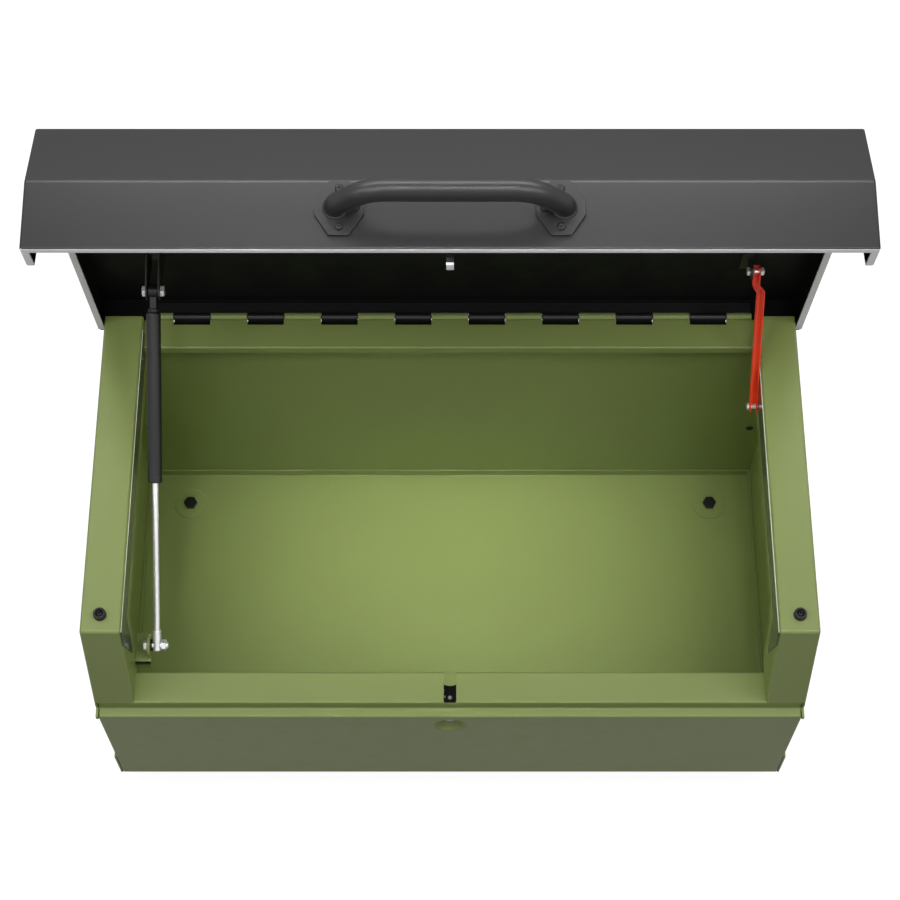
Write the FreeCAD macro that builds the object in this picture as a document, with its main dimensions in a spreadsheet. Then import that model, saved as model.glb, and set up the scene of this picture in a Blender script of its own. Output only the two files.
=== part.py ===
import FreeCAD, Part
import Sketcher
import math
import os
import re

# A steel jobsite storage box with its lid raised. Millimetres and degrees.
# Everything is drawn in one working frame: X to the right, Y back from the front
# panel, Z up from the ground, with the lid closed. Each piece then gets the
# placement of the body that it rides on, which also moves the origin to the
# middle of the open box's outline on the ground.

SIZES = {
    # body shell
    "body_half": 451.0,          # half the width over the arms
    "body_depth": 494.0,
    "panel_sheet": 2.0,
    "frame_sheet": 3.0,
    "foot_height": 14.0,
    "foot_radius": 25.0,
    "toe_height": 72.0,          # lower edge of the front face
    "toe_setback": 40.0,
    "skirt_top": 138.0,
    "shelf_top": 305.0,          # step that the closed lid comes down to
    "shelf_depth": 12.5,
    "riser_height": 18.0,
    "band_height": 8.0,
    "rail_depth": 41.8,
    "rail_lip": 30.0,
    "shoulder_run": 40.9,        # how far the arms' sloping fronts lean back
    "arm_top": 465.0,
    "arm_width": 50.5,
    "arm_lip": 58.0,
    "trim_depth": 20.0,
    "trim_thick": 1.2,
    "trim_fall": 36.0,           # how far the trim runs down the slope
    "trim_back_gap": 20.0,
    "back_inset": 13.0,
    "tray_rim": 14.0,
    "wall_hole_inset": 23.0,
    "wall_hole_z": 168.0,
    "wall_hole_radius": 4.5,
    # rear rail and hinge
    "rear_rail_drop": 16.0,
    "rear_rail_front": 38.4,     # in front of the body's rear end
    "rear_rail_back": 3.4,       # behind the body's rear end
    "rear_rail_lip": 13.0,
    "hinge_back": 6.0,
    "hinge_drop": 1.8,
    "knuckle_radius": 5.2,
    "knuckle_gap": 0.6,
    "knuckle_pairs": 4,
    "knuckle_end": 0.1818,       # extra length of the end knuckles, in pitches
    "hinge_inset": 4.5,
    "hinge_pin_radius": 2.5,
    "running_gap": 0.05,
    "leaf_sheet": 1.5,
    "body_leaf_width": 28.0,
    "lid_leaf_width": 15.0,
    # lid
    "open_angle": 83.77,
    "lid_overhang": 10.6,        # lid half width beyond the body's
    "lid_sheet": 2.0,
    "lid_front": 1.0,            # the lid's face lies this far behind the front face
    "lid_gap": 4.6,              # between the closed lid and the step
    "lid_face": 81.6,
    "chamfer_run": 36.8,
    "chamfer_rise": 83.8,
    "lid_back": 6.0,             # rear wall behind the hinge axis
    "rim_overlap": 37.0,         # side walls below the tops of the arms
    "nose_depth": 43.5,
    "rim_flange": 9.0,
    "rear_corner": 10.0,
    "rear_wall_gap": 1.0,
    # bump stops and floor fixings
    "bump_inset": 24.0,
    "bump_back": 22.8,           # behind the arms' shoulders
    "bump_radius": 8.0,
    "bump_gap": 0.4,
    "bump_recess": 3.2,
    "bump_recess_radius": 4.6,
    "bump_screw_radius": 2.5,
    "bump_screw_length": 14.0,
    "fixing_inset": 67.0,
    "fixing_front": 75.0,
    "fixing_rear_inset": 65.0,
    "pad_radius": 24.5,
    "pad_thick": 1.5,
    "fixing_radius": 5.0,
    "fixing_clearance": 0.25,
    "hex_across": 17.0,
    "fixing_head": 6.4,
    "fixing_nut": 6.0,
    # handle
    "handle_half": 122.0,
    "handle_above": 48.1,        # above the lid's lower edge
    "handle_stand": 43.0,        # tube centre in front of the foot plates
    "handle_radius": 12.7,
    "handle_wall": 2.0,
    "handle_bend": 38.0,
    "plate_half_width": 26.5,
    "plate_half_height": 32.0,
    "plate_thick": 3.0,
    "plate_edge": 12.0,
    "plate_screw_x": 18.0,
    "plate_screw_z": 23.0,
    "handle_screw_radius": 3.0,
    "screw_clearance": 0.15,
    "handle_screw_head": 4.9,
    "handle_screw_head_thick": 2.8,
    "handle_nut_thick": 5.0,
    "handle_nut_across": 10.0,
    # lid catch and lock
    "catch_half": 4.3,
    "catch_front": 23.0,
    "catch_back": 40.0,
    "catch_reach": 21.0,         # below the top of the front rail
    "catch_arm_gap": 3.0,
    "catch_arm_height": 15.0,
    "catch_hole_above": 9.5,
    "catch_hole_radius": 5.2,
    "rail_slot_half": 8.0,
    "case_left": 38.0,
    "case_right": 24.0,
    "case_back": 40.0,
    "case_slot_half": 6.0,
    "case_slot_front": 16.8,
    "case_slot_depth": 24.0,
    "lock_above": 33.0,          # barrel axis below the step
    "cup_radius": 22.0,
    "cup_depth": 9.0,
    "cup_wall": 1.5,
    "cup_fit": 0.1,
    "barrel_radius": 9.0,
    "cam_radius": 13.0,
    "cam_thick": 3.0,
    "crank_radius": 9.9,
    "crank_pin_radius": 2.5,
    "crank_slot_gap": 0.45,
    "bolt_thick": 6.0,
    "bolt_side_gap": 0.3,
    "bolt_nose": 7.0,
    "bolt_leg": 12.0,
    "bolt_left": 32.0,
    "bolt_tip": 7.5,
    "ball_radius": 2.8,
    "key_slot_width": 2.0,
    "key_slot_height": 9.0,
    "key_slot_depth": 5.0,
    # gas strut
    "strut_inset": 28.5,
    "strut_foot_back": 27.4,     # lower pivot behind the arms' shoulders
    "strut_foot_up": 26.0,
    "strut_head_run": 153.6,     # upper pivot before and below the hinge, lid closed
    "strut_head_drop": 31.3,
    "strut_rod_radius": 4.0,
    "strut_tube_radius": 9.0,
    "strut_tube_wall": 1.2,
    "rod_share": 0.4653,         # share of the open strut below the tube's mouth
    "eye_reach": 26.2,
    "gland_length": 12.0,
    "gland_proud": 0.6,
    "piston_length": 8.0,
    "rod_inside": 31.0,
    "rod_end_radius": 5.6,
    "rod_end_length": 20.0,
    "strut_pin_radius": 4.0,
    "strut_eye_radius": 9.0,
    "strut_eye_half": 9.0,
    "strut_neck_half": 4.0,
    "ear_gap": 0.2,
    "ear_sheet": 2.0,
    "ear_radius": 11.0,
    "ear_root": 50.0,
    "strut_web": 3.0,
    "foot_plate_front": 20.8,    # in front of the lower pivot
    "foot_plate_back": 21.2,
    "foot_plate_sheet": 4.0,
    "foot_plate_drop": 17.0,
    "foot_ear_radius": 13.0,
    "washer_radius": 7.5,
    # safety stay
    "stay_pin_circle": 122.6,    # both pins lie this far from the hinge axis
    "stay_lid_angle": 4.6,
    "stay_body_angle": -11.0,
    "stay_inset": 6.5,
    "stay_jog": 7.1,
    "stay_half": 4.8,
    "stay_depth": 12.0,
    "stay_sheet": 1.5,
    "stay_jog_start": 16.0,
    "stay_jog_end": 26.0,
    "stay_end": 6.0,
    "stay_pin_radius": 3.0,
    "stay_slot_gap": 0.3,
    "stay_slot_start": 32.3,
    "stay_head_radius": 5.0,
    "stay_head_thick": 3.0,
    "stay_nut_thick": 4.0,
    "stay_nut_across": 10.0,
    "stay_ear_sheet": 3.0,
    "stay_ear_gap": 0.5,
    "stay_ear_half": 10.0,
    "stay_base_sheet": 3.0,
    "stay_base_front": 20.0,
    "stay_base_back": 21.0,
    "stay_base_out": 14.0,
}

# Named places worked out from the sizes above.
PLACES = {
    "shell_half": "body_half - frame_sheet",
    "inner_half": "body_half - frame_sheet - panel_sheet",
    "arm_inner": "body_half - arm_width",
    "rail_top": "shelf_top + riser_height",
    "lid_half": "body_half + lid_overhang",
    "wall_hole_x": "body_half - wall_hole_inset",
    "bump_x": "body_half - bump_inset",
    "bump_y": "shoulder_y + bump_back",
    "fixing_x": "body_half - fixing_inset",
    "fixing_rear": "body_depth - fixing_rear_inset",
    "hinge_half": "arm_inner - hinge_inset",
    "knuckle_pitch": "hinge_half / (2 * knuckle_pairs + knuckle_end)",
    "strut_x": "arm_inner - strut_inset",
    "strut_foot_y": "shoulder_y + strut_foot_back",
    "strut_foot_z": "rail_top + strut_foot_up",
    "strut_head_y": "hinge_y - strut_head_run",
    "strut_head_z": "hinge_z - strut_head_drop",
    "rod_shown": "strut_span * rod_share",
    "tube_length": "strut_span - rod_shown - eye_reach",
    "stay_x": "arm_inner - stay_inset",
    "floor_top": "foot_height + panel_sheet",
    "shoulder_y": "shelf_depth + shoulder_run",
    "slope": "shoulder_run / (arm_top - rail_top)",
    "slope_length": "sqrt(shoulder_run ^ 2 + (arm_top - rail_top) ^ 2)",
    "slope_skin": "frame_sheet * slope_length / (arm_top - rail_top)",
    "slope_lip": "arm_lip * slope_length / (arm_top - rail_top)",
    "slope_trim": "trim_depth * slope_length / (arm_top - rail_top)",
    "toe_drop": "toe_height - foot_height",
    "toe_lean": "toe_setback / toe_drop",
    "toe_skin": "panel_sheet * sqrt(toe_setback ^ 2 + toe_drop ^ 2) / toe_drop",
    "back_face": "body_depth - back_inset",
    "back_inner": "back_face - panel_sheet",
    "rear_rail_top": "arm_top - rear_rail_drop",
    "rear_rail_y": "body_depth - rear_rail_front",
    "rear_rail_end": "body_depth + rear_rail_back",
    "back_panel_top": "rear_rail_top - panel_sheet - leaf_sheet",
    "hinge_y": "rear_rail_end + hinge_back",
    "hinge_z": "rear_rail_top - hinge_drop",
    "lid_low": "shelf_top + lid_gap",
    "fold_z": "lid_low + lid_face",
    "lid_top": "fold_z + chamfer_rise",
    "lid_under": "lid_top - lid_sheet",
    "chamfer_y": "lid_front + chamfer_run",
    "chamfer_lean": "chamfer_run / chamfer_rise",
    "chamfer_skin": "lid_sheet * sqrt(chamfer_run ^ 2 + chamfer_rise ^ 2) / chamfer_rise",
    "lid_rear": "hinge_y + lid_back",
    "rim_z": "arm_top - rim_overlap",
    "nose_y": "lid_front + nose_depth",
    "rim_start": "nose_y + (rim_z - lid_low) * slope",
    "rim_skin": "lid_sheet * slope_length / (arm_top - rail_top)",
    "rear_wall_low": "hinge_z + knuckle_radius + rear_wall_gap",
    "bump_top": "lid_under - bump_gap",
    "handle_z": "lid_low + handle_above",
    "plate_front": "lid_front - plate_thick",
    "handle_y": "plate_front - handle_stand",
    "catch_low": "rail_top - catch_reach",
    "catch_arm_low": "rail_top + catch_arm_gap",
    "catch_hole_z": "catch_low + catch_hole_above",
    "catch_mid": "(catch_front + catch_back) / 2",
    "lock_z": "shelf_top - lock_above",
    "case_front": "shelf_depth + panel_sheet",
    "case_top": "rail_top - panel_sheet",
    "case_low": "lock_z - cam_radius - 4",
    "bolt_y": "catch_mid - bolt_thick / 2",
    "bolt_end": "catch_mid + bolt_thick / 2",
    "cam_y": "bolt_y - cam_thick - running_gap * 4",
    "crank_x": "crank_radius * sin(45 deg)",
    "crank_z": "lock_z + crank_radius * cos(45 deg)",
    "head_gap": "strut_tube_radius + ear_gap",
    "origin_y": "(hinge_y + lid_back * cos(open_angle * 1 deg)"
                " + (lid_top - hinge_z) * sin(open_angle * 1 deg)) / 2",
    "stay_body_y": "hinge_y - stay_pin_circle * cos(stay_body_angle * 1 deg)",
    "stay_body_z": "hinge_z + stay_pin_circle * sin(stay_body_angle * 1 deg)",
    "stay_lid_y": "hinge_y - stay_pin_circle * cos(stay_lid_angle * 1 deg)",
    "stay_lid_z": "hinge_z + stay_pin_circle * sin(stay_lid_angle * 1 deg)",
    "stay_turn": "(stay_lid_angle + open_angle + stay_body_angle) / 2",
    "stay_span": "2 * stay_pin_circle * sin((stay_lid_angle + open_angle - stay_body_angle) / 2 * 1 deg)",
    "stay_lid_x": "stay_x - stay_jog",
    "open_head_y": "hinge_y + (strut_head_y - hinge_y) * cos(open_angle * 1 deg)"
                   " + (strut_head_z - hinge_z) * sin(open_angle * 1 deg)",
    "open_head_z": "hinge_z - (strut_head_y - hinge_y) * sin(open_angle * 1 deg)"
                   " + (strut_head_z - hinge_z) * cos(open_angle * 1 deg)",
    "open_pin_y": "hinge_y - stay_pin_circle * cos((stay_lid_angle + open_angle) * 1 deg)",
    "open_pin_z": "hinge_z + stay_pin_circle * sin((stay_lid_angle + open_angle) * 1 deg)",
    "strut_rise": "open_head_z - strut_foot_z",
    "strut_run": "open_head_y - strut_foot_y",
    "strut_span": "sqrt(strut_rise ^ 2 + strut_run ^ 2)",
}

doc = FreeCAD.newDocument("storage_box")
sheet = doc.addObject("Spreadsheet::Sheet", "Sizes")
for row, (alias, value) in enumerate(SIZES.items(), 1):
    sheet.set("A%d" % row, alias)
    sheet.set("B%d" % row, str(value))
    sheet.setAlias("B%d" % row, alias)
doc.recompute()

WORD = re.compile(r"[a-z_]{3,}")
NODES = []


def link(text):
    """Turn a formula in size and place names into one that reads the sheet."""
    def swap(match):
        word = match.group(0)
        if word in PLACES:
            return "(" + link(PLACES[word]) + ")"
        if word in SIZES:
            return "Sizes." + word
        return word
    return WORD.sub(swap, str(text))


def slab(name, low, high):
    """A box between two corners."""
    box = doc.addObject("Part::Box", name)
    for side, axis, a, b in zip(("Length", "Width", "Height"), "xyz", low, high):
        box.setExpression(side, link("(%s) - (%s)" % (b, a)))
        box.setExpression("Placement.Base." + axis, link(a))
    return box


def rod(name, axis, radius, centre, start, end, top_radius=None):
    """A cylinder, or a cone with top_radius, along X, Y or Z from start to end."""
    kind = "Part::Cylinder" if top_radius is None else "Part::Cone"
    piece = doc.addObject(kind, name)
    turn = {"x": (FreeCAD.Vector(0, 1, 0), 90), "y": (FreeCAD.Vector(1, 0, 0), -90),
            "z": (FreeCAD.Vector(0, 0, 1), 0)}[axis]
    piece.Placement = FreeCAD.Placement(FreeCAD.Vector(), FreeCAD.Rotation(*turn))
    if top_radius is None:
        piece.setExpression("Radius", link(radius))
    else:
        piece.setExpression("Radius1", link(radius))
        piece.setExpression("Radius2", link(top_radius))
    piece.setExpression("Height", link("(%s) - (%s)" % (end, start)))
    places = list(centre)
    places.insert("xyz".index(axis), start)
    for letter, text in zip("xyz", places):
        piece.setExpression("Placement.Base." + letter, link(text))
    return piece


def hexagon(name, axis, across, centre, start, end):
    """A six-sided prism, such as a bolt head or a nut, along X, Y or Z."""
    prism = doc.addObject("Part::Prism", name)
    prism.Polygon = 6
    turn = {"x": (FreeCAD.Vector(0, 1, 0), 90), "y": (FreeCAD.Vector(1, 0, 0), -90),
            "z": (FreeCAD.Vector(0, 0, 1), 0)}[axis]
    prism.Placement = FreeCAD.Placement(FreeCAD.Vector(), FreeCAD.Rotation(*turn))
    prism.setExpression("Circumradius", link("(%s) / sqrt(3)" % across))
    prism.setExpression("Height", link("(%s) - (%s)" % (end, start)))
    places = list(centre)
    places.insert("xyz".index(axis), start)
    for letter, text in zip("xyz", places):
        prism.setExpression("Placement.Base." + letter, link(text))
    return prism


def profile(name, plane, corners, start, end):
    """A PartDesign body: a closed outline on the YZ or XZ plane, padded from start to end."""
    body = doc.addObject("PartDesign::Body", name)
    role = plane.upper() + "_Plane"
    base = [item for item in body.Origin.OriginFeatures if item.Role == role][0]
    sketch = body.newObject("Sketcher::SketchObject", name + "_outline")
    sketch.AttachmentSupport = [(base, "")]
    sketch.MapMode = "FlatFace"
    count = len(corners)
    ring = [FreeCAD.Vector(90 * math.cos(2 * math.pi * k / count), 90 * math.sin(2 * math.pi * k / count), 0)
            for k in range(count)]
    sketch.addGeometry([Part.LineSegment(ring[k], ring[(k + 1) % count]) for k in range(count)], False)
    rules = [Sketcher.Constraint("Coincident", k, 2, (k + 1) % count, 1) for k in range(count)]
    for k in range(count):
        rules.append(Sketcher.Constraint("DistanceX", -1, 1, k, 1, ring[k].x))
        rules.append(Sketcher.Constraint("DistanceY", -1, 1, k, 1, ring[k].y))
    sketch.addConstraint(rules)
    for k, (across, up) in enumerate(corners):
        sketch.setExpression("Constraints[%d]" % (count + 2 * k), link(across))
        sketch.setExpression("Constraints[%d]" % (count + 2 * k + 1), link(up))
    pad = body.newObject("PartDesign::Pad", name + "_pad")
    pad.Profile = sketch
    pad.setExpression("Length", link("(%s) - (%s)" % (end, start)))
    if plane == "xz":
        sketch.setExpression("AttachmentOffset.Base.z", link("-(%s)" % start))
        pad.Reversed = True
    else:
        sketch.setExpression("AttachmentOffset.Base.z", link(start))
    body.Tip = pad
    return body


def join(name, pieces):
    """One solid from overlapping or touching pieces."""
    fused = doc.addObject("Part::MultiFuse", name)
    fused.Shapes = pieces
    fused.Refine = True
    return fused


def cut(name, base, tools):
    """The base less every tool."""
    result = doc.addObject("Part::Cut", name)
    result.Base = base
    result.Tool = tools[0] if len(tools) == 1 else join(name + "_tools", tools)
    return result


def collect(name, pieces):
    """Separate solids in one node, such as a set of screws."""
    group = doc.addObject("Part::Compound", name)
    group.Links = pieces
    return group


def mirror(name, piece):
    """The same piece on the other side of the box."""
    other = doc.addObject("Part::Mirroring", name)
    other.Source = piece
    other.Base = FreeCAD.Vector(0, 0, 0)
    other.Normal = FreeCAD.Vector(1, 0, 0)
    return other


TURN = "open_angle * 1 deg"
FRAMES = {
    "body": ("0", "-origin_y", "0", "0"),
    "lid": ("0",
            "hinge_y - hinge_y * cos(%s) - hinge_z * sin(%s) - origin_y" % (TURN, TURN),
            "hinge_z + hinge_y * sin(%s) - hinge_z * cos(%s)" % (TURN, TURN),
            "-open_angle"),
    "strut": ("-strut_x", "strut_foot_y - origin_y", "strut_foot_z",
              "-atan2(strut_run; strut_rise) / 1 deg"),
    "stay": ("stay_x", "open_pin_y - origin_y", "open_pin_z", "-stay_turn"),
}


def node(label, piece, frame="body"):
    """Name a finished sub-part and carry it with one of the moving frames."""
    holder = collect(label + "_solids", [piece])
    holder.Label = label
    holder.Placement = FreeCAD.Placement(FreeCAD.Vector(), FreeCAD.Rotation(FreeCAD.Vector(1, 0, 0), -1))
    across, back, up, angle = FRAMES[frame]
    holder.setExpression("Placement.Base.x", link(across))
    holder.setExpression("Placement.Base.y", link(back))
    holder.setExpression("Placement.Base.z", link(up))
    holder.setExpression("Placement.Rotation.Angle", link("(%s) * 1 deg" % angle))
    if frame == "body":
        holder.clearExpression("Placement.Rotation.Angle")
        holder.Placement.Rotation = FreeCAD.Rotation()
    NODES.append((label, holder))


def pair(left_name, right_name, right_piece, frame="body"):
    """A right-hand piece and its mirror image."""
    node(right_name, right_piece, frame)
    node(left_name, mirror(left_name + "_mirror", right_piece), frame)


# ---------------------------------------------------------------- body shell

def front_panel():
    """Front sheet with the folded toe and the hole for the key cup."""
    sheet_body = profile("front_sheet", "yz", [
        ("toe_setback", "foot_height"), ("0", "toe_height"), ("0", "shelf_top - band_height"),
        ("panel_sheet", "shelf_top - band_height"),
        ("panel_sheet", "toe_height + (toe_skin - panel_sheet) / toe_lean"),
        ("toe_setback + toe_skin", "foot_height")], "-inner_half", "inner_half")
    hole = rod("key_hole", "y", "cup_radius + cup_fit", ("0", "lock_z"), "-5", "panel_sheet + 5")
    node("front_panel", cut("front_panel_cut", sheet_body, [hole]))


def front_rail():
    """Folded rail along the front: face band, step, riser, top and rear lip."""
    outer = "shelf_depth + rail_depth"
    rail = profile("rail_sheet", "yz", [
        ("0", "shelf_top - band_height"), ("0", "shelf_top"), ("shelf_depth", "shelf_top"),
        ("shelf_depth", "rail_top"), (outer, "rail_top"), (outer, "rail_top - rail_lip"),
        (outer + " - panel_sheet", "rail_top - rail_lip"),
        (outer + " - panel_sheet", "rail_top - panel_sheet"),
        ("shelf_depth + panel_sheet", "rail_top - panel_sheet"),
        ("shelf_depth + panel_sheet", "shelf_top - panel_sheet"),
        ("panel_sheet", "shelf_top - panel_sheet"), ("panel_sheet", "shelf_top - band_height")],
        "-inner_half", "inner_half")
    slot = slab("rail_slot", ("-rail_slot_half", "shelf_depth + panel_sheet", "rail_top - rail_lip - 1"),
                ("rail_slot_half", outer + " + 1", "rail_top + 1"))
    node("front_rail", cut("front_rail_cut", rail, [slot]))


def side_panels():
    """Flat side sheets that carry the arms and the skirts."""
    lean = "(arm_top - arm_lip / 2 - rail_top) * slope"
    panel = profile("side_sheet", "yz", [
        ("toe_setback", "foot_height"), ("0", "toe_height"), ("0", "shelf_top"),
        ("shelf_depth", "shelf_top"), ("shelf_depth", "rail_top"),
        ("shelf_depth + slope_skin", "rail_top"),
        ("shelf_depth + slope_skin + " + lean, "arm_top - arm_lip / 2"),
        ("body_depth", "arm_top - arm_lip / 2"), ("body_depth", "foot_height")],
        "inner_half", "shell_half")
    pair("left_side_panel", "right_side_panel", panel)


def base_skirts():
    """Outer strips along the foot of each side."""
    skirt = profile("skirt_sheet", "yz", [
        ("toe_setback", "foot_height"), ("0", "toe_height"), ("0", "skirt_top"),
        ("body_depth", "skirt_top"), ("body_depth", "foot_height")], "shell_half", "body_half")
    pair("left_base_skirt", "right_base_skirt", skirt)


def arms():
    """Folded side frames: outer skin, top with its sloping front, and inner lip."""
    skin = profile("arm_skin", "yz", [
        ("0", "shelf_top - band_height"), ("0", "shelf_top"), ("shelf_depth", "shelf_top"),
        ("shelf_depth", "rail_top"), ("shoulder_y", "arm_top"), ("body_depth", "arm_top"),
        ("body_depth", "shelf_top - band_height")], "shell_half", "body_half")
    cap = profile("arm_cap", "yz", [
        ("shelf_depth", "rail_top"), ("shoulder_y", "arm_top"), ("body_depth", "arm_top"),
        ("body_depth", "arm_top - frame_sheet"),
        ("shoulder_y + slope_skin - frame_sheet * slope", "arm_top - frame_sheet"),
        ("shelf_depth + slope_skin", "rail_top")], "arm_inner", "body_half")
    lip = profile("arm_lip_sheet", "yz", [
        ("shelf_depth", "rail_top"), ("shoulder_y", "arm_top"), ("body_depth", "arm_top"),
        ("body_depth", "back_panel_top"), ("back_inner", "back_panel_top"),
        ("back_inner", "arm_top - arm_lip"),
        ("shoulder_y + slope_lip - arm_lip * slope", "arm_top - arm_lip"),
        ("shelf_depth + slope_lip", "rail_top")], "arm_inner", "arm_inner + frame_sheet")
    end = profile("arm_end", "xz", [
        ("arm_inner", "arm_top - arm_lip"), ("inner_half", "arm_top - arm_lip"),
        ("inner_half", "arm_top - arm_lip / 2"), ("body_half", "arm_top - arm_lip / 2"),
        ("body_half", "arm_top"), ("arm_inner", "arm_top")], "body_depth - frame_sheet", "body_depth")
    folded = join("arm_folded", [skin, cap, lip, end])
    screw = rod("bump_hole", "z", "bump_screw_radius + screw_clearance", ("bump_x", "bump_y"),
                "arm_top - frame_sheet - 5", "arm_top + 5")
    node("left_arm", mirror("left_arm_mirror", cut("left_arm_cut", folded, [screw])))
    pin = rod("stay_pin_hole", "x", "stay_pin_radius + screw_clearance", ("stay_body_y", "stay_body_z"),
              "arm_inner - 5", "arm_inner + frame_sheet + 5")
    node("right_arm", cut("right_arm_cut", folded, [screw, pin]))


def edge_trims():
    """Rubber strips on the inner lips, bent round the shoulder."""
    top = "arm_top - trim_depth"
    start = "arm_top - trim_fall"
    trim = profile("trim_strip", "yz", [
        ("shoulder_y - trim_fall * slope", start), ("shoulder_y", "arm_top"),
        ("body_depth - trim_back_gap", "arm_top"), ("body_depth - trim_back_gap", "rear_rail_top"),
        ("rear_rail_y", "rear_rail_top"), ("rear_rail_y", top),
        ("shoulder_y + slope_trim - trim_depth * slope", top),
        ("shoulder_y + slope_trim - trim_fall * slope", start)],
        "arm_inner - trim_thick", "arm_inner")
    pair("left_edge_trim", "right_edge_trim", trim)


def rear_panel():
    """Back sheet with the two wall fixing holes."""
    plate = slab("rear_sheet", ("-inner_half", "back_inner", "foot_height"),
                 ("inner_half", "back_face", "back_panel_top"))
    holes = [rod("wall_hole_%s" % side, "y", "wall_hole_radius", (sign + "wall_hole_x", "wall_hole_z"),
                 "back_inner - tray_rim", "back_face + 5") for side, sign in (("left", "-"), ("right", ""))]
    node("rear_panel", cut("rear_panel_cut", plate, holes))


def floor_tray():
    """Floor sheet with a low rim at the back and the sides."""
    front = "toe_setback + toe_skin"
    plate = slab("tray_plate", ("-inner_half", front, "foot_height"),
                 ("inner_half", "back_inner", "floor_top"))
    rear = slab("tray_rear", ("-inner_half", "back_inner - panel_sheet", "foot_height"),
                ("inner_half", "back_inner", "floor_top + tray_rim"))
    rims = [slab("tray_left", ("-inner_half", front, "foot_height"),
                 ("panel_sheet - inner_half", "back_inner", "floor_top + tray_rim")),
            slab("tray_right", ("inner_half - panel_sheet", front, "foot_height"),
                 ("inner_half", "back_inner", "floor_top + tray_rim"))]
    tray = join("tray_folded", [plate, rear] + rims)
    holes = [rod("tray_hole_%d" % k, "z", "fixing_radius + fixing_clearance", spot,
                 "foot_height - 5", "floor_top + 5") for k, spot in enumerate(fixing_spots())]
    node("floor_tray", cut("floor_tray_cut", tray, holes))


def fixing_spots():
    """The four floor fixings, as pairs of formulas."""
    return [(x, y) for y in ("fixing_front", "fixing_rear") for x in ("-fixing_x", "fixing_x")]


def floor_fixings():
    """Raised pads, bolts, nuts and rubber feet at the four corners of the floor."""
    pads = []
    bolts = []
    nuts = []
    feet = []
    bore = "fixing_radius + fixing_clearance"
    seat = "floor_top + pad_thick"
    for k, spot in enumerate(fixing_spots()):
        pads.append(cut("pad_%d" % k, rod("pad_disc_%d" % k, "z", "pad_radius", spot, "floor_top", seat),
                        [rod("pad_bore_%d" % k, "z", bore, spot, "floor_top - 1", seat + " + 1")]))
        bolts.append(join("bolt_%d" % k, [
            hexagon("bolt_head_%d" % k, "z", "hex_across", spot, seat, seat + " + fixing_head"),
            rod("bolt_shank_%d" % k, "z", "fixing_radius", spot, "1", seat)]))
        nuts.append(cut("nut_%d" % k, hexagon("nut_blank_%d" % k, "z", "hex_across", spot, "1",
                                              "1 + fixing_nut"),
                        [rod("nut_bore_%d" % k, "z", "fixing_radius", spot, "0", "2 + fixing_nut")]))
        feet.append(cut("foot_%d" % k, rod("foot_blank_%d" % k, "z", "foot_radius", spot, "0", "foot_height"),
                        [rod("foot_bore_%d" % k, "z", bore, spot, "-1", "foot_height + 1"),
                         rod("foot_pocket_%d" % k, "z", "hex_across * 0.6", spot, "-1", "1 + fixing_nut")]))
    node("floor_pads", collect("pads", pads))
    node("floor_bolts", collect("bolts", bolts))
    node("foot_nuts", collect("nuts", nuts))
    node("feet", collect("feet_set", feet))


def bump_stops():
    """Rubber stops on the arms, each with a screw in its recess."""
    stops = []
    screws = []
    for side, sign in (("left", "-"), ("right", "")):
        spot = (sign + "bump_x", "bump_y")
        stops.append(cut("stop_" + side, rod("stop_blank_" + side, "z", "bump_radius", spot, "arm_top", "bump_top"), [
            rod("stop_recess_" + side, "z", "bump_recess_radius", spot, "bump_top - bump_recess", "bump_top + 1"),
            rod("stop_bore_" + side, "z", "bump_screw_radius + screw_clearance", spot, "arm_top - 1", "bump_top")]))
        seat = "bump_top - bump_recess"
        screws.append(join("stop_screw_" + side, [
            rod("stop_screw_head_" + side, "z", "bump_recess_radius - 0.4", spot, seat, seat + " + bump_recess * 0.75"),
            rod("stop_screw_shank_" + side, "z", "bump_screw_radius", spot, seat + " - bump_screw_length", seat)]))
    node("bump_stops", collect("stops", stops))
    node("bump_stop_screws", collect("stop_screws", screws))


# ---------------------------------------------------------------- hinge

def knuckle_spans():
    """X limits of the lid's knuckles and of the body's knuckles, left to right."""
    pairs = int(SIZES["knuckle_pairs"])
    lid_spans = []
    body_spans = []
    for k in range(-2 * pairs, 2 * pairs + 1):
        middle = "knuckle_pitch * %d" % k
        low = "%s - (knuckle_pitch - knuckle_gap) / 2" % middle
        high = "%s + (knuckle_pitch - knuckle_gap) / 2" % middle
        if k == -2 * pairs:
            low = "-hinge_half"
        if k == 2 * pairs:
            high = "hinge_half"
        (lid_spans if k % 2 else body_spans).append((low, high))
    return lid_spans, body_spans


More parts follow.
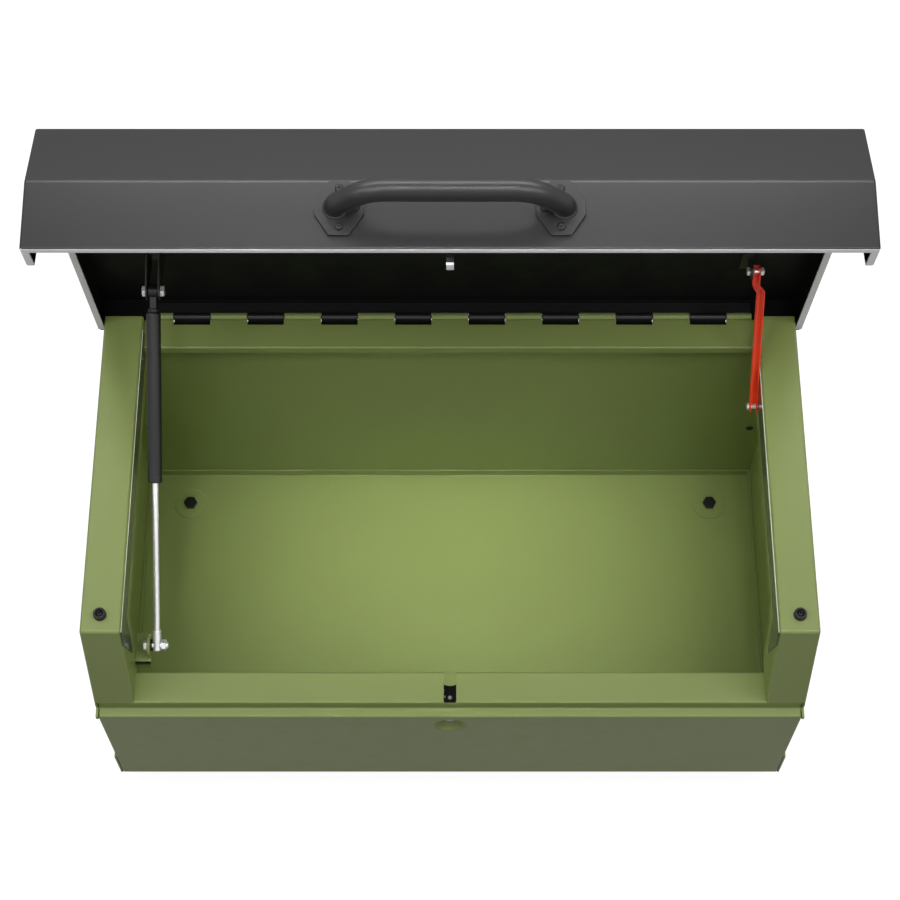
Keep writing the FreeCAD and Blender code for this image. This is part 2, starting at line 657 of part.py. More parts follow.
def hinge():
    """Rear rail, the two hinge leaves and the pin."""
    rail = profile("rear_rail_sheet", "yz", [
        ("rear_rail_y", "rear_rail_top - rear_rail_lip"), ("rear_rail_y", "rear_rail_top"),
        ("rear_rail_end", "rear_rail_top"), ("rear_rail_end", "rear_rail_top - panel_sheet"),
        ("rear_rail_y + panel_sheet", "rear_rail_top - panel_sheet"),
        ("rear_rail_y + panel_sheet", "rear_rail_top - rear_rail_lip")], "-arm_inner", "arm_inner")
    node("hinge_rail", rail)
    lid_spans, body_spans = knuckle_spans()
    axis = ("hinge_y", "hinge_z")
    leaf_top = "rear_rail_top - panel_sheet"
    pieces = [slab("body_leaf", ("-hinge_half", "rear_rail_end - body_leaf_width", leaf_top + " - leaf_sheet"),
                   ("hinge_half", "rear_rail_end", leaf_top))]
    for k, (low, high) in enumerate(body_spans):
        pieces.append(rod("body_knuckle_%d" % k, "x", "knuckle_radius", axis, low, high))
        pieces.append(slab("body_tab_%d" % k, (low, "rear_rail_end - 1", leaf_top + " - leaf_sheet"),
                           (high, "hinge_y", leaf_top)))
    bore = rod("body_leaf_bore", "x", "hinge_pin_radius + running_gap", axis, "-hinge_half - 1", "hinge_half + 1")
    node("body_hinge_leaf", cut("body_leaf_cut", join("body_leaf_join", pieces), [bore]))
    inner = "lid_rear - lid_sheet"
    pieces = [slab("lid_leaf", ("-hinge_half", inner + " - leaf_sheet", "rear_wall_low"),
                   ("hinge_half", inner, "rear_wall_low + lid_leaf_width"))]
    for k, (low, high) in enumerate(lid_spans):
        pieces.append(rod("lid_knuckle_%d" % k, "x", "knuckle_radius", axis, low, high))
        pieces.append(slab("lid_tab_%d" % k, (low, inner + " - leaf_sheet", "hinge_z"),
                           (high, inner, "rear_wall_low + 1")))
    bore = rod("lid_leaf_bore", "x", "hinge_pin_radius + running_gap", axis, "-hinge_half - 1", "hinge_half + 1")
    node("lid_hinge_leaf", cut("lid_leaf_cut", join("lid_leaf_join", pieces), [bore]), "lid")
    node("hinge_pin", rod("pin_rod", "x", "hinge_pin_radius", axis, "-hinge_half", "hinge_half"))


# ---------------------------------------------------------------- lid

def lid_shell():
    """Lid folded from one sheet, with side walls that hang outside the body and a rim flange."""
    outer = profile("lid_outer", "yz", [
        ("lid_front", "lid_low"), ("lid_front", "fold_z"), ("chamfer_y", "lid_top"),
        ("lid_rear", "lid_top"), ("lid_rear", "rim_z + rear_corner"),
        ("lid_rear - rear_corner / 3.4", "rim_z + rear_corner / 3.4"),
        ("lid_rear - rear_corner", "rim_z"), ("rim_start", "rim_z"), ("nose_y", "lid_low")],
        "-lid_half", "lid_half")
    hollow = profile("lid_inner", "yz", [
        ("lid_front + lid_sheet", "lid_low - 20"),
        ("lid_front + lid_sheet", "fold_z - (chamfer_skin - lid_sheet) / chamfer_lean"),
        ("chamfer_y + chamfer_skin - lid_sheet * chamfer_lean", "lid_under"),
        ("lid_rear - lid_sheet", "lid_under"), ("lid_rear - lid_sheet", "lid_low - 20")],
        "lid_sheet - lid_half", "lid_half - lid_sheet")
    below = slab("rear_wall_cut", ("lid_sheet - lid_half", "lid_rear - lid_sheet - 1", "rim_z - 20"),
                 ("lid_half - lid_sheet", "lid_rear + 1", "rear_wall_low"))
    shell = cut("lid_hollowed", outer, [hollow, below])
    lip = slab("front_flange", ("lid_sheet - lid_half", "lid_front + lid_sheet", "lid_low"),
               ("lid_half - lid_sheet", "lid_front + rim_flange", "lid_low + lid_sheet"))
    edge = profile("side_flange", "yz", [
        ("lid_front + lid_sheet", "lid_low"), ("nose_y", "lid_low"), ("rim_start", "rim_z"),
        ("lid_rear - rear_corner", "rim_z"), ("lid_rear - rear_corner", "rim_z + lid_sheet"),
        ("rim_start - rim_skin + lid_sheet * slope", "rim_z + lid_sheet"),
        ("nose_y - rim_skin + lid_sheet * slope", "lid_low + lid_sheet"),
        ("lid_front + lid_sheet", "lid_low + lid_sheet")],
        "lid_half - rim_flange", "lid_half - lid_sheet")
    whole = join("lid_joined", [shell, lip, edge, mirror("side_flange_left", edge)])
    holes = [rod("lid_screw_hole_%d" % k, "y", "handle_screw_radius + screw_clearance", spot,
                 "lid_front - 5", "lid_front + lid_sheet + 5") for k, spot in enumerate(handle_screws())]
    node("lid_shell", cut("lid_shell_cut", whole, holes), "lid")


def handle_screws():
    """The eight handle screws, as pairs of X and Z formulas."""
    spots = []
    for foot in ("-handle_half", "handle_half"):
        spots.append((foot + " - plate_screw_x", "handle_z"))
        spots.append((foot + " + plate_screw_x", "handle_z"))
        spots.append((foot, "handle_z - plate_screw_z"))
        spots.append((foot, "handle_z + plate_screw_z"))
    return spots


def handle_plates():
    """Eight-sided foot plates under the ends of the handle."""
    plates = []
    for side, sign in (("left", "-"), ("right", "")):
        x = sign + "handle_half"
        wide, high = "plate_half_width", "plate_half_height"
        corners = [("%s %s" % (x, dx), "handle_z %s" % dz) for dx, dz in (
            ("- plate_edge", "- " + high), ("+ plate_edge", "- " + high),
            ("+ " + wide, "- plate_edge"), ("+ " + wide, "+ plate_edge"),
            ("+ plate_edge", "+ " + high), ("- plate_edge", "+ " + high),
            ("- " + wide, "+ plate_edge"), ("- " + wide, "- plate_edge"))]
        plates.append(profile("plate_" + side, "xz", corners, "plate_front", "lid_front"))
    holes = [rod("plate_hole_%d" % k, "y", "handle_screw_radius + screw_clearance", spot,
                 "plate_front - 5", "lid_front + 5") for k, spot in enumerate(handle_screws())]
    drilled = [cut("plate_%s_cut" % side, plate, holes[4 * k:4 * k + 4])
               for k, (side, plate) in enumerate(zip(("left", "right"), plates))]
    node("handle_plates", collect("plate_set", drilled), "lid")


def ring_bend(name, radius, side):
    """A quarter bend of the handle tube."""
    bend = doc.addObject("Part::Torus", name)
    bend.setExpression("Radius1", link("handle_bend"))
    bend.setExpression("Radius2", link(radius))
    bend.Angle3 = 90
    first = 180 if side == "left" else 270
    bend.Placement = FreeCAD.Placement(FreeCAD.Vector(), FreeCAD.Rotation(FreeCAD.Vector(0, 0, 1), first))
    sign = "handle_bend - handle_half" if side == "left" else "handle_half - handle_bend"
    bend.setExpression("Placement.Base.x", link(sign))
    bend.setExpression("Placement.Base.y", link("handle_y + handle_bend"))
    bend.setExpression("Placement.Base.z", link("handle_z"))
    return bend


def handle_run(prefix, radius, reach):
    """The handle's centre line swept as one rod: two feet, two bends and a straight grip."""
    pieces = [rod(prefix + "_grip", "x", radius, ("handle_y", "handle_z"),
                  "handle_bend - handle_half", "handle_half - handle_bend")]
    for side, sign in (("left", "-"), ("right", "")):
        pieces.append(rod(prefix + "_leg_" + side, "y", radius, (sign + "handle_half", "handle_z"),
                          "handle_y + handle_bend", "plate_front + " + reach))
        pieces.append(ring_bend(prefix + "_bend_" + side, radius, side))
    return join(prefix + "_run", pieces)


def handle():
    """Bent tube, its foot plates, and the screws and nuts that hold it."""
    outer = handle_run("tube_outer", "handle_radius", "0")
    inner = handle_run("tube_inner", "handle_radius - handle_wall", "1")
    node("handle_tube", cut("handle_tube_cut", outer, [inner]), "lid")
    handle_plates()
    screws = []
    nuts = []
    for k, spot in enumerate(handle_screws()):
        tip = "lid_front + lid_sheet + handle_nut_thick + 1"
        screws.append(join("screw_%d" % k, [
            rod("screw_head_%d" % k, "y", "handle_screw_head", spot, "plate_front - handle_screw_head_thick",
                "plate_front"),
            rod("screw_shank_%d" % k, "y", "handle_screw_radius", spot, "plate_front - 1", tip)]))
        back = "lid_front + lid_sheet"
        nuts.append(cut("handle_nut_%d" % k, hexagon("handle_nut_blank_%d" % k, "y", "handle_nut_across", spot, back,
                                                     back + " + handle_nut_thick"),
                        [rod("handle_nut_bore_%d" % k, "y", "handle_screw_radius", spot, back + " - 1",
                             back + " + handle_nut_thick + 1")]))
    node("handle_screws", collect("screw_set", screws), "lid")
    node("handle_nuts", collect("nut_set", nuts), "lid")


def lid_catch():
    """Tongue that drops through the front rail into the lock."""
    root = "lid_front + lid_sheet"
    tongue = profile("catch_plate", "yz", [
        (root, "catch_arm_low"), ("catch_front", "catch_arm_low"), ("catch_front", "catch_low"),
        ("catch_back", "catch_low"), ("catch_back", "catch_arm_low + catch_arm_height"),
        (root, "catch_arm_low + catch_arm_height")], "-catch_half", "catch_half")
    hole = rod("catch_hole", "x", "catch_hole_radius", ("catch_mid", "catch_hole_z"),
               "-catch_half - 1", "catch_half + 1")
    node("lid_catch", cut("lid_catch_cut", tongue, [hole]), "lid")


# ---------------------------------------------------------------- lock

def lock():
    """Key cup, case, barrel with its crank, sliding bolt and the ejector ball."""
    spot = ("0", "lock_z")
    cup = cut("cup_cut", rod("cup_blank", "y", "cup_radius", spot, "0", "case_front"), [
        rod("cup_cone", "y", "cup_radius - cup_wall", spot, "0", "cup_depth", "barrel_radius + cup_wall"),
        rod("cup_bore", "y", "barrel_radius + running_gap * 2", spot, "-1", "case_front + 1")])
    node("key_cup", cup)
    block = slab("case_block", ("-case_left", "case_front", "case_low"), ("case_right", "case_back", "case_top"))
    travel = "2 * crank_x"
    gap = "bolt_side_gap"
    cavity = slab("bolt_cavity", ("-bolt_left - 2", "bolt_y - " + gap, "lock_z - 2.5"),
                  ("case_right - 4", "bolt_end + " + gap, "catch_hole_z + bolt_nose / 2 + " + gap))
    throat = slab("catch_throat", ("-case_slot_half", "case_slot_front", "case_top - case_slot_depth + 2"),
                  ("case_slot_half", "case_back + 1", "case_top + 1"))
    socket = rod("ball_socket", "z", "ball_radius + running_gap", ("0", "catch_mid - 3.5"),
                 "catch_low - 2 * ball_radius - 0.5", "catch_low + 1")
    sleeve = rod("barrel_bore", "y", "barrel_radius + running_gap", spot, "case_front - 1", "bolt_y")
    pocket = rod("cam_pocket", "y", "cam_radius + " + gap, spot, "cam_y - " + gap, "bolt_y")
    node("lock_case", cut("case_cut", block, [cavity, throat, sleeve, pocket, socket]))
    barrel = join("barrel_join", [
        rod("barrel_core", "y", "barrel_radius", spot, "cup_depth", "cam_y + 0.5"),
        rod("barrel_cam", "y", "cam_radius", spot, "cam_y", "cam_y + cam_thick"),
        rod("barrel_crank", "y", "crank_pin_radius", ("-crank_x", "crank_z"), "cam_y + 1", "bolt_end")])
    key_slot = slab("key_slot", ("-key_slot_width / 2", "cup_depth - 1", "lock_z - key_slot_height / 2"),
                    ("key_slot_width / 2", "cup_depth + key_slot_depth", "lock_z + key_slot_height / 2"))
    node("lock_barrel", cut("barrel_cut", barrel, [key_slot]))
    foot_top = "crank_z + crank_radius"
    nose_low, nose_top = "catch_hole_z - bolt_nose / 2", "catch_hole_z + bolt_nose / 2"
    right = "crank_pin_radius + crank_slot_gap + 8 - crank_x"
    bolt = profile("bolt_plate", "xz", [
        ("-bolt_left", "lock_z - 2"), (right, "lock_z - 2"), (right, foot_top), ("bolt_leg - bolt_left", foot_top),
        ("bolt_leg - bolt_left", nose_low), ("-bolt_tip", nose_low), ("-bolt_tip", nose_top),
        ("-bolt_left", nose_top)], "bolt_y", "bolt_end")
    reach = "crank_pin_radius + crank_slot_gap"
    slot = slab("crank_slot", ("-crank_x - (%s)" % reach, "bolt_y - 1", "crank_z - (%s)" % reach),
                ("-crank_x + %s" % reach, "bolt_end + 1", "lock_z + crank_radius + %s" % reach))
    node("lock_bolt", cut("bolt_cut", bolt, [slot]))
    ball = doc.addObject("Part::Sphere", "ball")
    ball.setExpression("Radius", link("ball_radius"))
    ball.setExpression("Placement.Base.y", link("catch_mid - 3.5"))
    ball.setExpression("Placement.Base.z", link("catch_low - ball_radius - 0.4"))
    node("ejector_ball", ball)
    return travel


# ---------------------------------------------------------------- gas strut

def strut_brackets():
    """Bracket on the left arm's lip, its bolt, and the ears and bolt ends on the lid."""
    ear_out = "-strut_x - rod_end_radius - 6.4"
    ear_in = "-strut_x - rod_end_radius - 2.4"
    plate_top = "strut_foot_z - foot_plate_drop + foot_plate_sheet"
    front = "strut_foot_y - foot_plate_front"
    back = "strut_foot_y + foot_plate_back"
    pieces = [
        slab("foot_base", ("-arm_inner", front, "strut_foot_z - foot_plate_drop"), (ear_in, back, plate_top)),
        slab("foot_lip", ("-arm_inner", front, "rail_top"), (ear_in, front + " + foot_plate_sheet", plate_top)),
        slab("foot_upright", (ear_out, "strut_foot_y - foot_ear_radius", "strut_foot_z - foot_plate_drop"),
             (ear_in, "strut_foot_y + foot_ear_radius", "strut_foot_z")),
        rod("foot_round", "x", "foot_ear_radius", ("strut_foot_y", "strut_foot_z"), ear_out, ear_in)]
    bolt_axis = ("strut_foot_y", "strut_foot_z")
    hole = rod("foot_hole", "x", "strut_pin_radius + screw_clearance", bolt_axis, ear_out + " - 5", ear_in + " + 5")
    node("strut_lower_bracket", cut("foot_cut", join("foot_join", pieces), [hole]))
    nut = "-strut_x + rod_end_radius + 0.3"
    bolt = join("foot_bolt", [
        hexagon("foot_bolt_head", "x", "hex_across * 0.76", bolt_axis, ear_out + " - 5", ear_out),
        rod("foot_bolt_shank", "x", "strut_pin_radius", bolt_axis, ear_out, nut + " + 8.5")])
    node("strut_lower_bolt", bolt)
    bore = rod("foot_nut_bore", "x", "strut_pin_radius", bolt_axis, nut + " - 1", nut + " + 7")
    node("strut_lower_nut", cut("foot_nut", hexagon("foot_nut_blank", "x", "hex_across * 0.76", bolt_axis, nut,
                                                    nut + " + 6"), [bore]))
    washer = cut("foot_washer", rod("foot_washer_disc", "x", "washer_radius", bolt_axis, ear_in,
                                    "-strut_x - rod_end_radius - 0.2"),
                 [rod("foot_washer_bore", "x", "strut_pin_radius", bolt_axis, ear_in + " - 1",
                      "-strut_x - rod_end_radius + 1")])
    node("strut_spacer", washer)


def strut_head_bracket():
    """Two deep ears folded down from a web on the lid's underside."""
    axis = ("strut_head_y", "strut_head_z")
    ears = []
    stubs = []
    for side, sign in (("left", -1), ("right", 1)):
        near = "-strut_x %s head_gap" % ("-" if sign < 0 else "+")
        far = "%s %s ear_sheet" % (near, "-" if sign < 0 else "+")
        low, high = (far, near) if sign < 0 else (near, far)
        ears.append(profile("ear_%s" % side, "yz", [
            ("strut_head_y - ear_radius", "strut_head_z"), ("strut_head_y + ear_radius", "strut_head_z"),
            ("strut_head_y + ear_root / 2", "lid_under"), ("strut_head_y - ear_root / 2", "lid_under")], low, high))
        ears.append(rod("ear_round_%s" % side, "x", "ear_radius", axis, low, high))
        if sign < 0:
            stubs.append(hexagon("head_bolt", "x", "hex_across * 0.76", axis, far + " - 4.5", far))
        else:
            stubs.append(hexagon("head_nut", "x", "hex_across * 0.76", axis, far, far + " + 5"))
    web = slab("head_web", ("-strut_x - head_gap - ear_sheet", "strut_head_y - ear_root / 2",
                            "lid_under - strut_web"),
               ("-strut_x + head_gap + ear_sheet", "strut_head_y + ear_root / 2", "lid_under"))
    node("strut_upper_bracket", join("head_bracket", ears + [web]), "lid")
    node("strut_upper_bolt_ends", collect("head_stubs", stubs), "lid")


def strut():
    """Rod with its end fitting and piston, and the tube with gland, end plug and eye."""
    axis = ("0", "0")
    end = cut("rod_end_cut", rod("rod_end_body", "z", "rod_end_radius", axis, "-strut_pin_radius - 3",
                                 "rod_end_length"),
              [rod("rod_end_bore", "x", "strut_pin_radius + running_gap", axis, "-20", "20"),
               rod("rod_end_socket", "z", "strut_rod_radius", axis, "rod_end_length - 8", "rod_end_length + 1")])
    node("strut_rod_end", end, "strut")
    top = "rod_shown + rod_inside"
    node("strut_rod", rod("rod_bar", "z", "strut_rod_radius", axis, "rod_end_length - 8", top + " - piston_length"),
         "strut")
    node("strut_piston", rod("piston_disc", "z", "strut_tube_radius - strut_tube_wall - running_gap * 4", axis,
                             top + " - piston_length", top), "strut")
    mouth, far = "rod_shown", "rod_shown + tube_length"
    wall = cut("tube_wall", rod("tube_outside", "z", "strut_tube_radius", axis, mouth, far),
               [rod("tube_inside", "z", "strut_tube_radius - strut_tube_wall", axis, mouth + " - 1",
                    far + " - 6")])
    node("strut_tube", wall, "strut")
    gland = cut("gland_cut", rod("gland_ring", "z", "strut_tube_radius - strut_tube_wall", axis,
                                 mouth, mouth + " + gland_length"),
                [rod("gland_bore", "z", "strut_rod_radius + running_gap", axis, mouth + " - 1",
                     mouth + " + gland_length + 1")])
    node("strut_gland", gland, "strut")
    eye = join("eye_join", [
        rod("eye_boss", "x", "strut_eye_radius", ("0", "strut_span"), "-strut_eye_half", "strut_eye_half"),
        slab("eye_neck", ("-strut_neck_half", "-strut_neck_half", far),
             ("strut_neck_half", "strut_neck_half", "strut_span")),
        rod("eye_collar", "z", "strut_tube_radius * 0.75", axis, far, far + " + 5")])
    node("strut_tube_eye", eye, "strut")


# ---------------------------------------------------------------- safety stay

def stay():
    """Slotted channel that hangs from the lid and slides over a pin in the right arm's lip."""
    pieces = []
    half, wall = "stay_half", "stay_sheet"
    rear = "stay_depth / 2"
    bottom = "-stay_span - stay_end"
    reach = "stay_pin_radius + stay_slot_gap"
    for side, low, high in (("left", "-stay_half", "-stay_half + stay_sheet"),
                            ("right", "stay_half - stay_sheet", "stay_half")):
        flange = slab("stay_flange_" + side, (low, "-" + rear, bottom), (high, rear, "-stay_jog_end"))
        ends = [rod("stay_slot_end_%s_%d" % (side, k), "x", reach, ("0", z), low + " - 0.5", high + " + 0.5")
                for k, z in enumerate(("-stay_span", "-stay_slot_start"))]
        middle = slab("stay_slot_%s" % side, (low + " - 0.5", "-(%s)" % reach, "-stay_span"),
                      (high + " + 0.5", reach, "-stay_slot_start"))
        pieces.append(cut("stay_flange_%s_cut" % side, flange, ends + [middle]))
        upper = slab("stay_cheek_" + side, (low + " - stay_jog", "-" + rear, "-stay_jog_start"),
                     (high + " - stay_jog", rear, "stay_end"))
        pieces.append(upper)
        jog = profile("stay_jog_" + side, "xz", [
            (low, "-stay_jog_end"), (high, "-stay_jog_end"), (high + " - stay_jog", "-stay_jog_start"),
            (low + " - stay_jog", "-stay_jog_start")], "-" + rear, rear)
        pieces.append(jog)
    pieces.append(slab("stay_web_low", ("-" + half, rear + " - " + wall, bottom), (half, rear, "-stay_jog_end")))
    pieces.append(slab("stay_web_high", ("-%s - stay_jog" % half, rear + " - " + wall, "-stay_jog_start"),
                       (half + " - stay_jog", rear, "stay_end")))
    pieces.append(profile("stay_web_jog", "xz", [
        ("-" + half, "-stay_jog_end"), (half, "-stay_jog_end"), (half + " - stay_jog", "-stay_jog_start"),
        ("-%s - stay_jog" % half, "-stay_jog_start")], rear + " - " + wall, rear))
    hole = rod("stay_pivot_hole", "x", "stay_pin_radius + running_gap", ("0", "0"), "-stay_jog - stay_half - 5",
               "stay_half + 5")
    node("safety_stay", cut("stay_cut", join("stay_join", pieces), [hole]), "stay")


def stay_fixings():
    """Pin and nut in the arm's lip, and the bracket, pivot and nut on the lid."""
    spot = ("stay_body_y", "stay_body_z")
    inner = "stay_x - stay_half - stay_ear_gap"
    outer = "arm_inner + frame_sheet"
    node("stay_slide_pin", join("slide_pin", [
        rod("slide_pin_head", "x", "stay_head_radius", spot, inner + " - stay_head_thick", inner),
        rod("slide_pin_shank", "x", "stay_pin_radius", spot, inner, outer + " + stay_nut_thick + 1")]))
    node("stay_slide_nut", cut("slide_nut", hexagon("slide_nut_blank", "x", "stay_nut_across", spot, outer,
                                                    outer + " + stay_nut_thick"),
                               [rod("slide_nut_bore", "x", "stay_pin_radius", spot, outer + " - 1",
                                    outer + " + stay_nut_thick + 1")]))
    spot = ("stay_lid_y", "stay_lid_z")
    near = "stay_lid_x - stay_half - stay_ear_gap"
    ear_low = near + " - stay_ear_sheet"
    base_top = "lid_under - stay_base_sheet"
    ear = slab("stay_ear", (ear_low, "stay_lid_y - stay_ear_half", "stay_lid_z"),
               (near, "stay_lid_y + stay_ear_half", "lid_under"))
    nose = rod("stay_ear_round", "x", "stay_ear_half", spot, ear_low, near)
    foot = slab("stay_base", (near + " - stay_base_out", "stay_lid_y - stay_base_front", base_top),
                (near, "stay_lid_y + stay_base_back", "lid_under"))
    hole = rod("stay_ear_hole", "x", "stay_pin_radius + screw_clearance", spot, ear_low + " - 5", near + " + 5")
    node("stay_upper_bracket", cut("stay_bracket_cut", join("stay_bracket_join", [ear, nose, foot]), [hole]), "lid")
    far = "stay_lid_x + stay_half + stay_ear_gap"
    node("stay_pivot_bolt", join("stay_pivot", [
        hexagon("stay_pivot_head", "x", "stay_nut_across", spot, ear_low + " - stay_nut_thick", ear_low),
        rod("stay_pivot_shank", "x", "stay_pin_radius", spot, ear_low, far + " + stay_nut_thick + 1")]), "lid")
    node("stay_pivot_nut", cut("stay_pivot_nut_cut", hexagon("stay_pivot_nut_blank", "x", "stay_nut_across", spot,
                                                             far, far + " + stay_nut_thick"),
                               [rod("stay_pivot_nut_bore", "x", "stay_pin_radius", spot, far + " - 1",
                                    far + " + stay_nut_thick + 1")]), "lid")


front_panel()
front_rail()
side_panels()
base_skirts()
arms()
edge_trims()
rear_panel()
floor_tray()
floor_fixings()
bump_stops()
hinge()
lid_shell()
handle()
lid_catch()
lock()
strut_brackets()
strut_head_bracket()
strut()
stay()
stay_fixings()

doc.recompute()
for item in doc.Objects:
    if "Invalid" in item.State or "Error" in item.State:
        raise RuntimeError("%s failed: %s" % (item.Label, item.State))
for label, holder in NODES:
    if holder.Shape.isNull() or not holder.Shape.isValid() or not holder.Shape.Solids:
        raise RuntimeError("%s has no valid solid" % label)

os.makedirs("parts", exist_ok=True)
for label, holder in NODES:
    holder.Shape.exportStep("parts/%s.step" % label)
    print("%-24s solids %2d  volume %10.1f" % (label, len(holder.Shape.Solids), holder.Shape.Volume))
print("nodes", len(NODES))
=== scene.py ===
"""A steel jobsite storage box with its lid raised.

Folded sheet body and lid, knuckled hinge, tube handle, gas strut, slotted safety stay and key lock. Every
class draws in the drawing frame: millimetres, X to the right, Y back from the front face, Z up from the
ground, with the lid closed. A Carrier then turns that drawing into the stored frame, in metres, lid open.
"""

import logging
import math
from dataclasses import dataclass, field
from enum import Enum
from typing import Iterable, Sequence

import bmesh
import bpy
from mathutils import Matrix, Vector

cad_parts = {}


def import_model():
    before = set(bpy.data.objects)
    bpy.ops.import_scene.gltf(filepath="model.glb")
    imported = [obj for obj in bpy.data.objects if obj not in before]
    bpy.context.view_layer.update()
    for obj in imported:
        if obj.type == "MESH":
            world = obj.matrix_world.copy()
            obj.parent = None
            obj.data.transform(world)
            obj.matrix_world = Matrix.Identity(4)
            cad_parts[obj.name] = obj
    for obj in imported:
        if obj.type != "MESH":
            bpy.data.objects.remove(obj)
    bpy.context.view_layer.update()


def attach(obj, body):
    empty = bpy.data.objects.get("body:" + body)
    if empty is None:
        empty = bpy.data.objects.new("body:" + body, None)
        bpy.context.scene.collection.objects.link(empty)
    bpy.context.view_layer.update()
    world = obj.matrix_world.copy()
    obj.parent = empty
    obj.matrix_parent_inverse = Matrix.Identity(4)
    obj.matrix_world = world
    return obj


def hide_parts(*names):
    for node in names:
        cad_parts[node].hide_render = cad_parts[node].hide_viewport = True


LOG = logging.getLogger("storage_box")
MM = 0.001

Mesh = bmesh.types.BMesh
Socket = bpy.types.NodeSocket
Point = tuple[float, float, float]
Flat = tuple[float, float]


class Axis(Enum):
    """The direction that a turned or extruded shape runs along."""

    X = "x"
    Y = "y"
    Z = "z"

    @property
    def turn(self) -> Matrix:
        """The rotation that takes Z to this axis.

        Returns:
            A 3 by 3 rotation.
        """
        if self is Axis.Z:
            return Matrix.Identity(3)
        angle, about = (90, "Y") if self is Axis.X else (-90, "X")
        return Matrix.Rotation(math.radians(angle), 3, about)


class Slot(Enum):
    """The record's material slots."""

    GREEN = "green_paint"
    BLACK = "black_paint"
    DARK_STEEL = "black_steel"
    ZINC = "zinc_steel"
    CHROME = "chrome_rod"
    RUBBER = "black_rubber"
    RED = "red_paint"


# ---------------------------------------------------------------- places


@dataclass(frozen=True)
class Layout:
    """Main sizes of the box, in millimetres, and the angle that the lid stands open."""

    body_half: float = 451.0
    shell_half: float = 448.0
    inner_half: float = 446.0
    arm_inner: float = 400.5
    body_depth: float = 494.0
    foot: float = 14.0
    toe_height: float = 72.0
    toe_setback: float = 40.0
    skirt_top: float = 138.0
    band_low: float = 297.0
    shelf: float = 305.0
    shelf_depth: float = 12.5
    rail_top: float = 323.0
    rail_back: float = 54.3
    shoulder_y: float = 53.4
    arm_top: float = 465.0
    lip_drop: float = 58.0
    rear_rail_top: float = 449.0
    rear_rail_front: float = 455.6
    rear_rail_back: float = 497.4
    wall_hole: Flat = (428.0, 168.0)
    hinge_y: float = 503.4
    hinge_z: float = 447.2
    open_angle: float = 83.77
    lid_top: float = 475.0
    lid_sheet: float = 2.0
    lid_rear: float = 509.4
    strut_x: float = -372.0
    strut_foot_y: float = 80.8
    strut_foot_z: float = 349.0
    strut_elevation: float = 33.4373
    strut_span: float = 449.156
    stay_x: float = 394.0
    stay_jog: float = 7.1
    stay_turn: float = 38.685
    stay_span: float = 187.0
    pin_circle: float = 122.6
    stay_lid_angle: float = 4.6
    stay_body_angle: float = -11.0
    lock_z: float = 272.0

    @property
    def origin_y(self) -> float:
        """Half the open box's depth, which is where the stored frame has its origin.

        Returns:
            Its distance behind the front face, in millimetres.
        """
        angle = math.radians(self.open_angle)
        out, up = self.lid_rear - self.hinge_y, self.lid_top - self.hinge_z
        return (self.hinge_y + (out * math.cos(angle) + up * math.sin(angle))) / 2

    @property
    def slope(self) -> float:
        """How far the arms' fronts lean back for each millimetre of height."""
        return (self.shoulder_y - self.shelf_depth) / (self.arm_top - self.rail_top)

    @property
    def under_lid(self) -> float:
        """Height of the lid's inside face."""
        return self.lid_top - self.lid_sheet

    def on_circle(self, angle: float) -> Flat:
        """A point on the circle that both of the stay's pins lie on.

        Args:
            angle: Degrees above the level line in front of the hinge.

        Returns:
            Its Y and Z.
        """
        turn = math.radians(angle)
        reach, rise = self.pin_circle * math.cos(turn), self.pin_circle * math.sin(turn)
        return self.hinge_y - reach, self.hinge_z + rise


BOX = Layout()


def _shift(x: float, y: float, z: float) -> Matrix:
    """A move, in millimetres."""
    return Matrix.Translation((x, y, z))


def _tip(angle: float) -> Matrix:
    """A turn about +X, in degrees."""
    return Matrix.Rotation(math.radians(angle), 4, "X")


def _carrier_matrices() -> dict[str, Matrix]:
    """The matrix from the drawing frame to the stored frame, for each body.

    Returns:
        The matrices by body name.
    """
    base = Matrix.Scale(MM, 4) @ _shift(0, -BOX.origin_y, 0)
    hinge = _shift(0, BOX.hinge_y, BOX.hinge_z)
    pin_y, pin_z = BOX.on_circle(BOX.stay_lid_angle + BOX.open_angle)
    strut = base @ _shift(BOX.strut_x, BOX.strut_foot_y, BOX.strut_foot_z) @ _tip(BOX.strut_elevation - 90)
    return {
        "box": base,
        "lid": base @ hinge @ _tip(-BOX.open_angle) @ hinge.inverted(),
        "strut_rod_body": strut,
        "strut_tube_body": strut,
        "stay": base @ _shift(BOX.stay_x, pin_y, pin_z) @ _tip(-BOX.stay_turn),
        "lock_barrel_body": base,
        "lock_bolt_body": base,
    }


class Carrier(Enum):
    """The rigid body that a piece moves with."""

    BOX = "box"
    LID = "lid"
    STRUT_ROD = "strut_rod_body"
    STRUT_TUBE = "strut_tube_body"
    STAY = "stay"
    BARREL = "lock_barrel_body"
    BOLT = "lock_bolt_body"

    @property
    def place(self) -> Matrix:
        """Where this body's drawing lies in the stored frame."""
        return _carrier_matrices()[self.value]


# ---------------------------------------------------------------- finishes


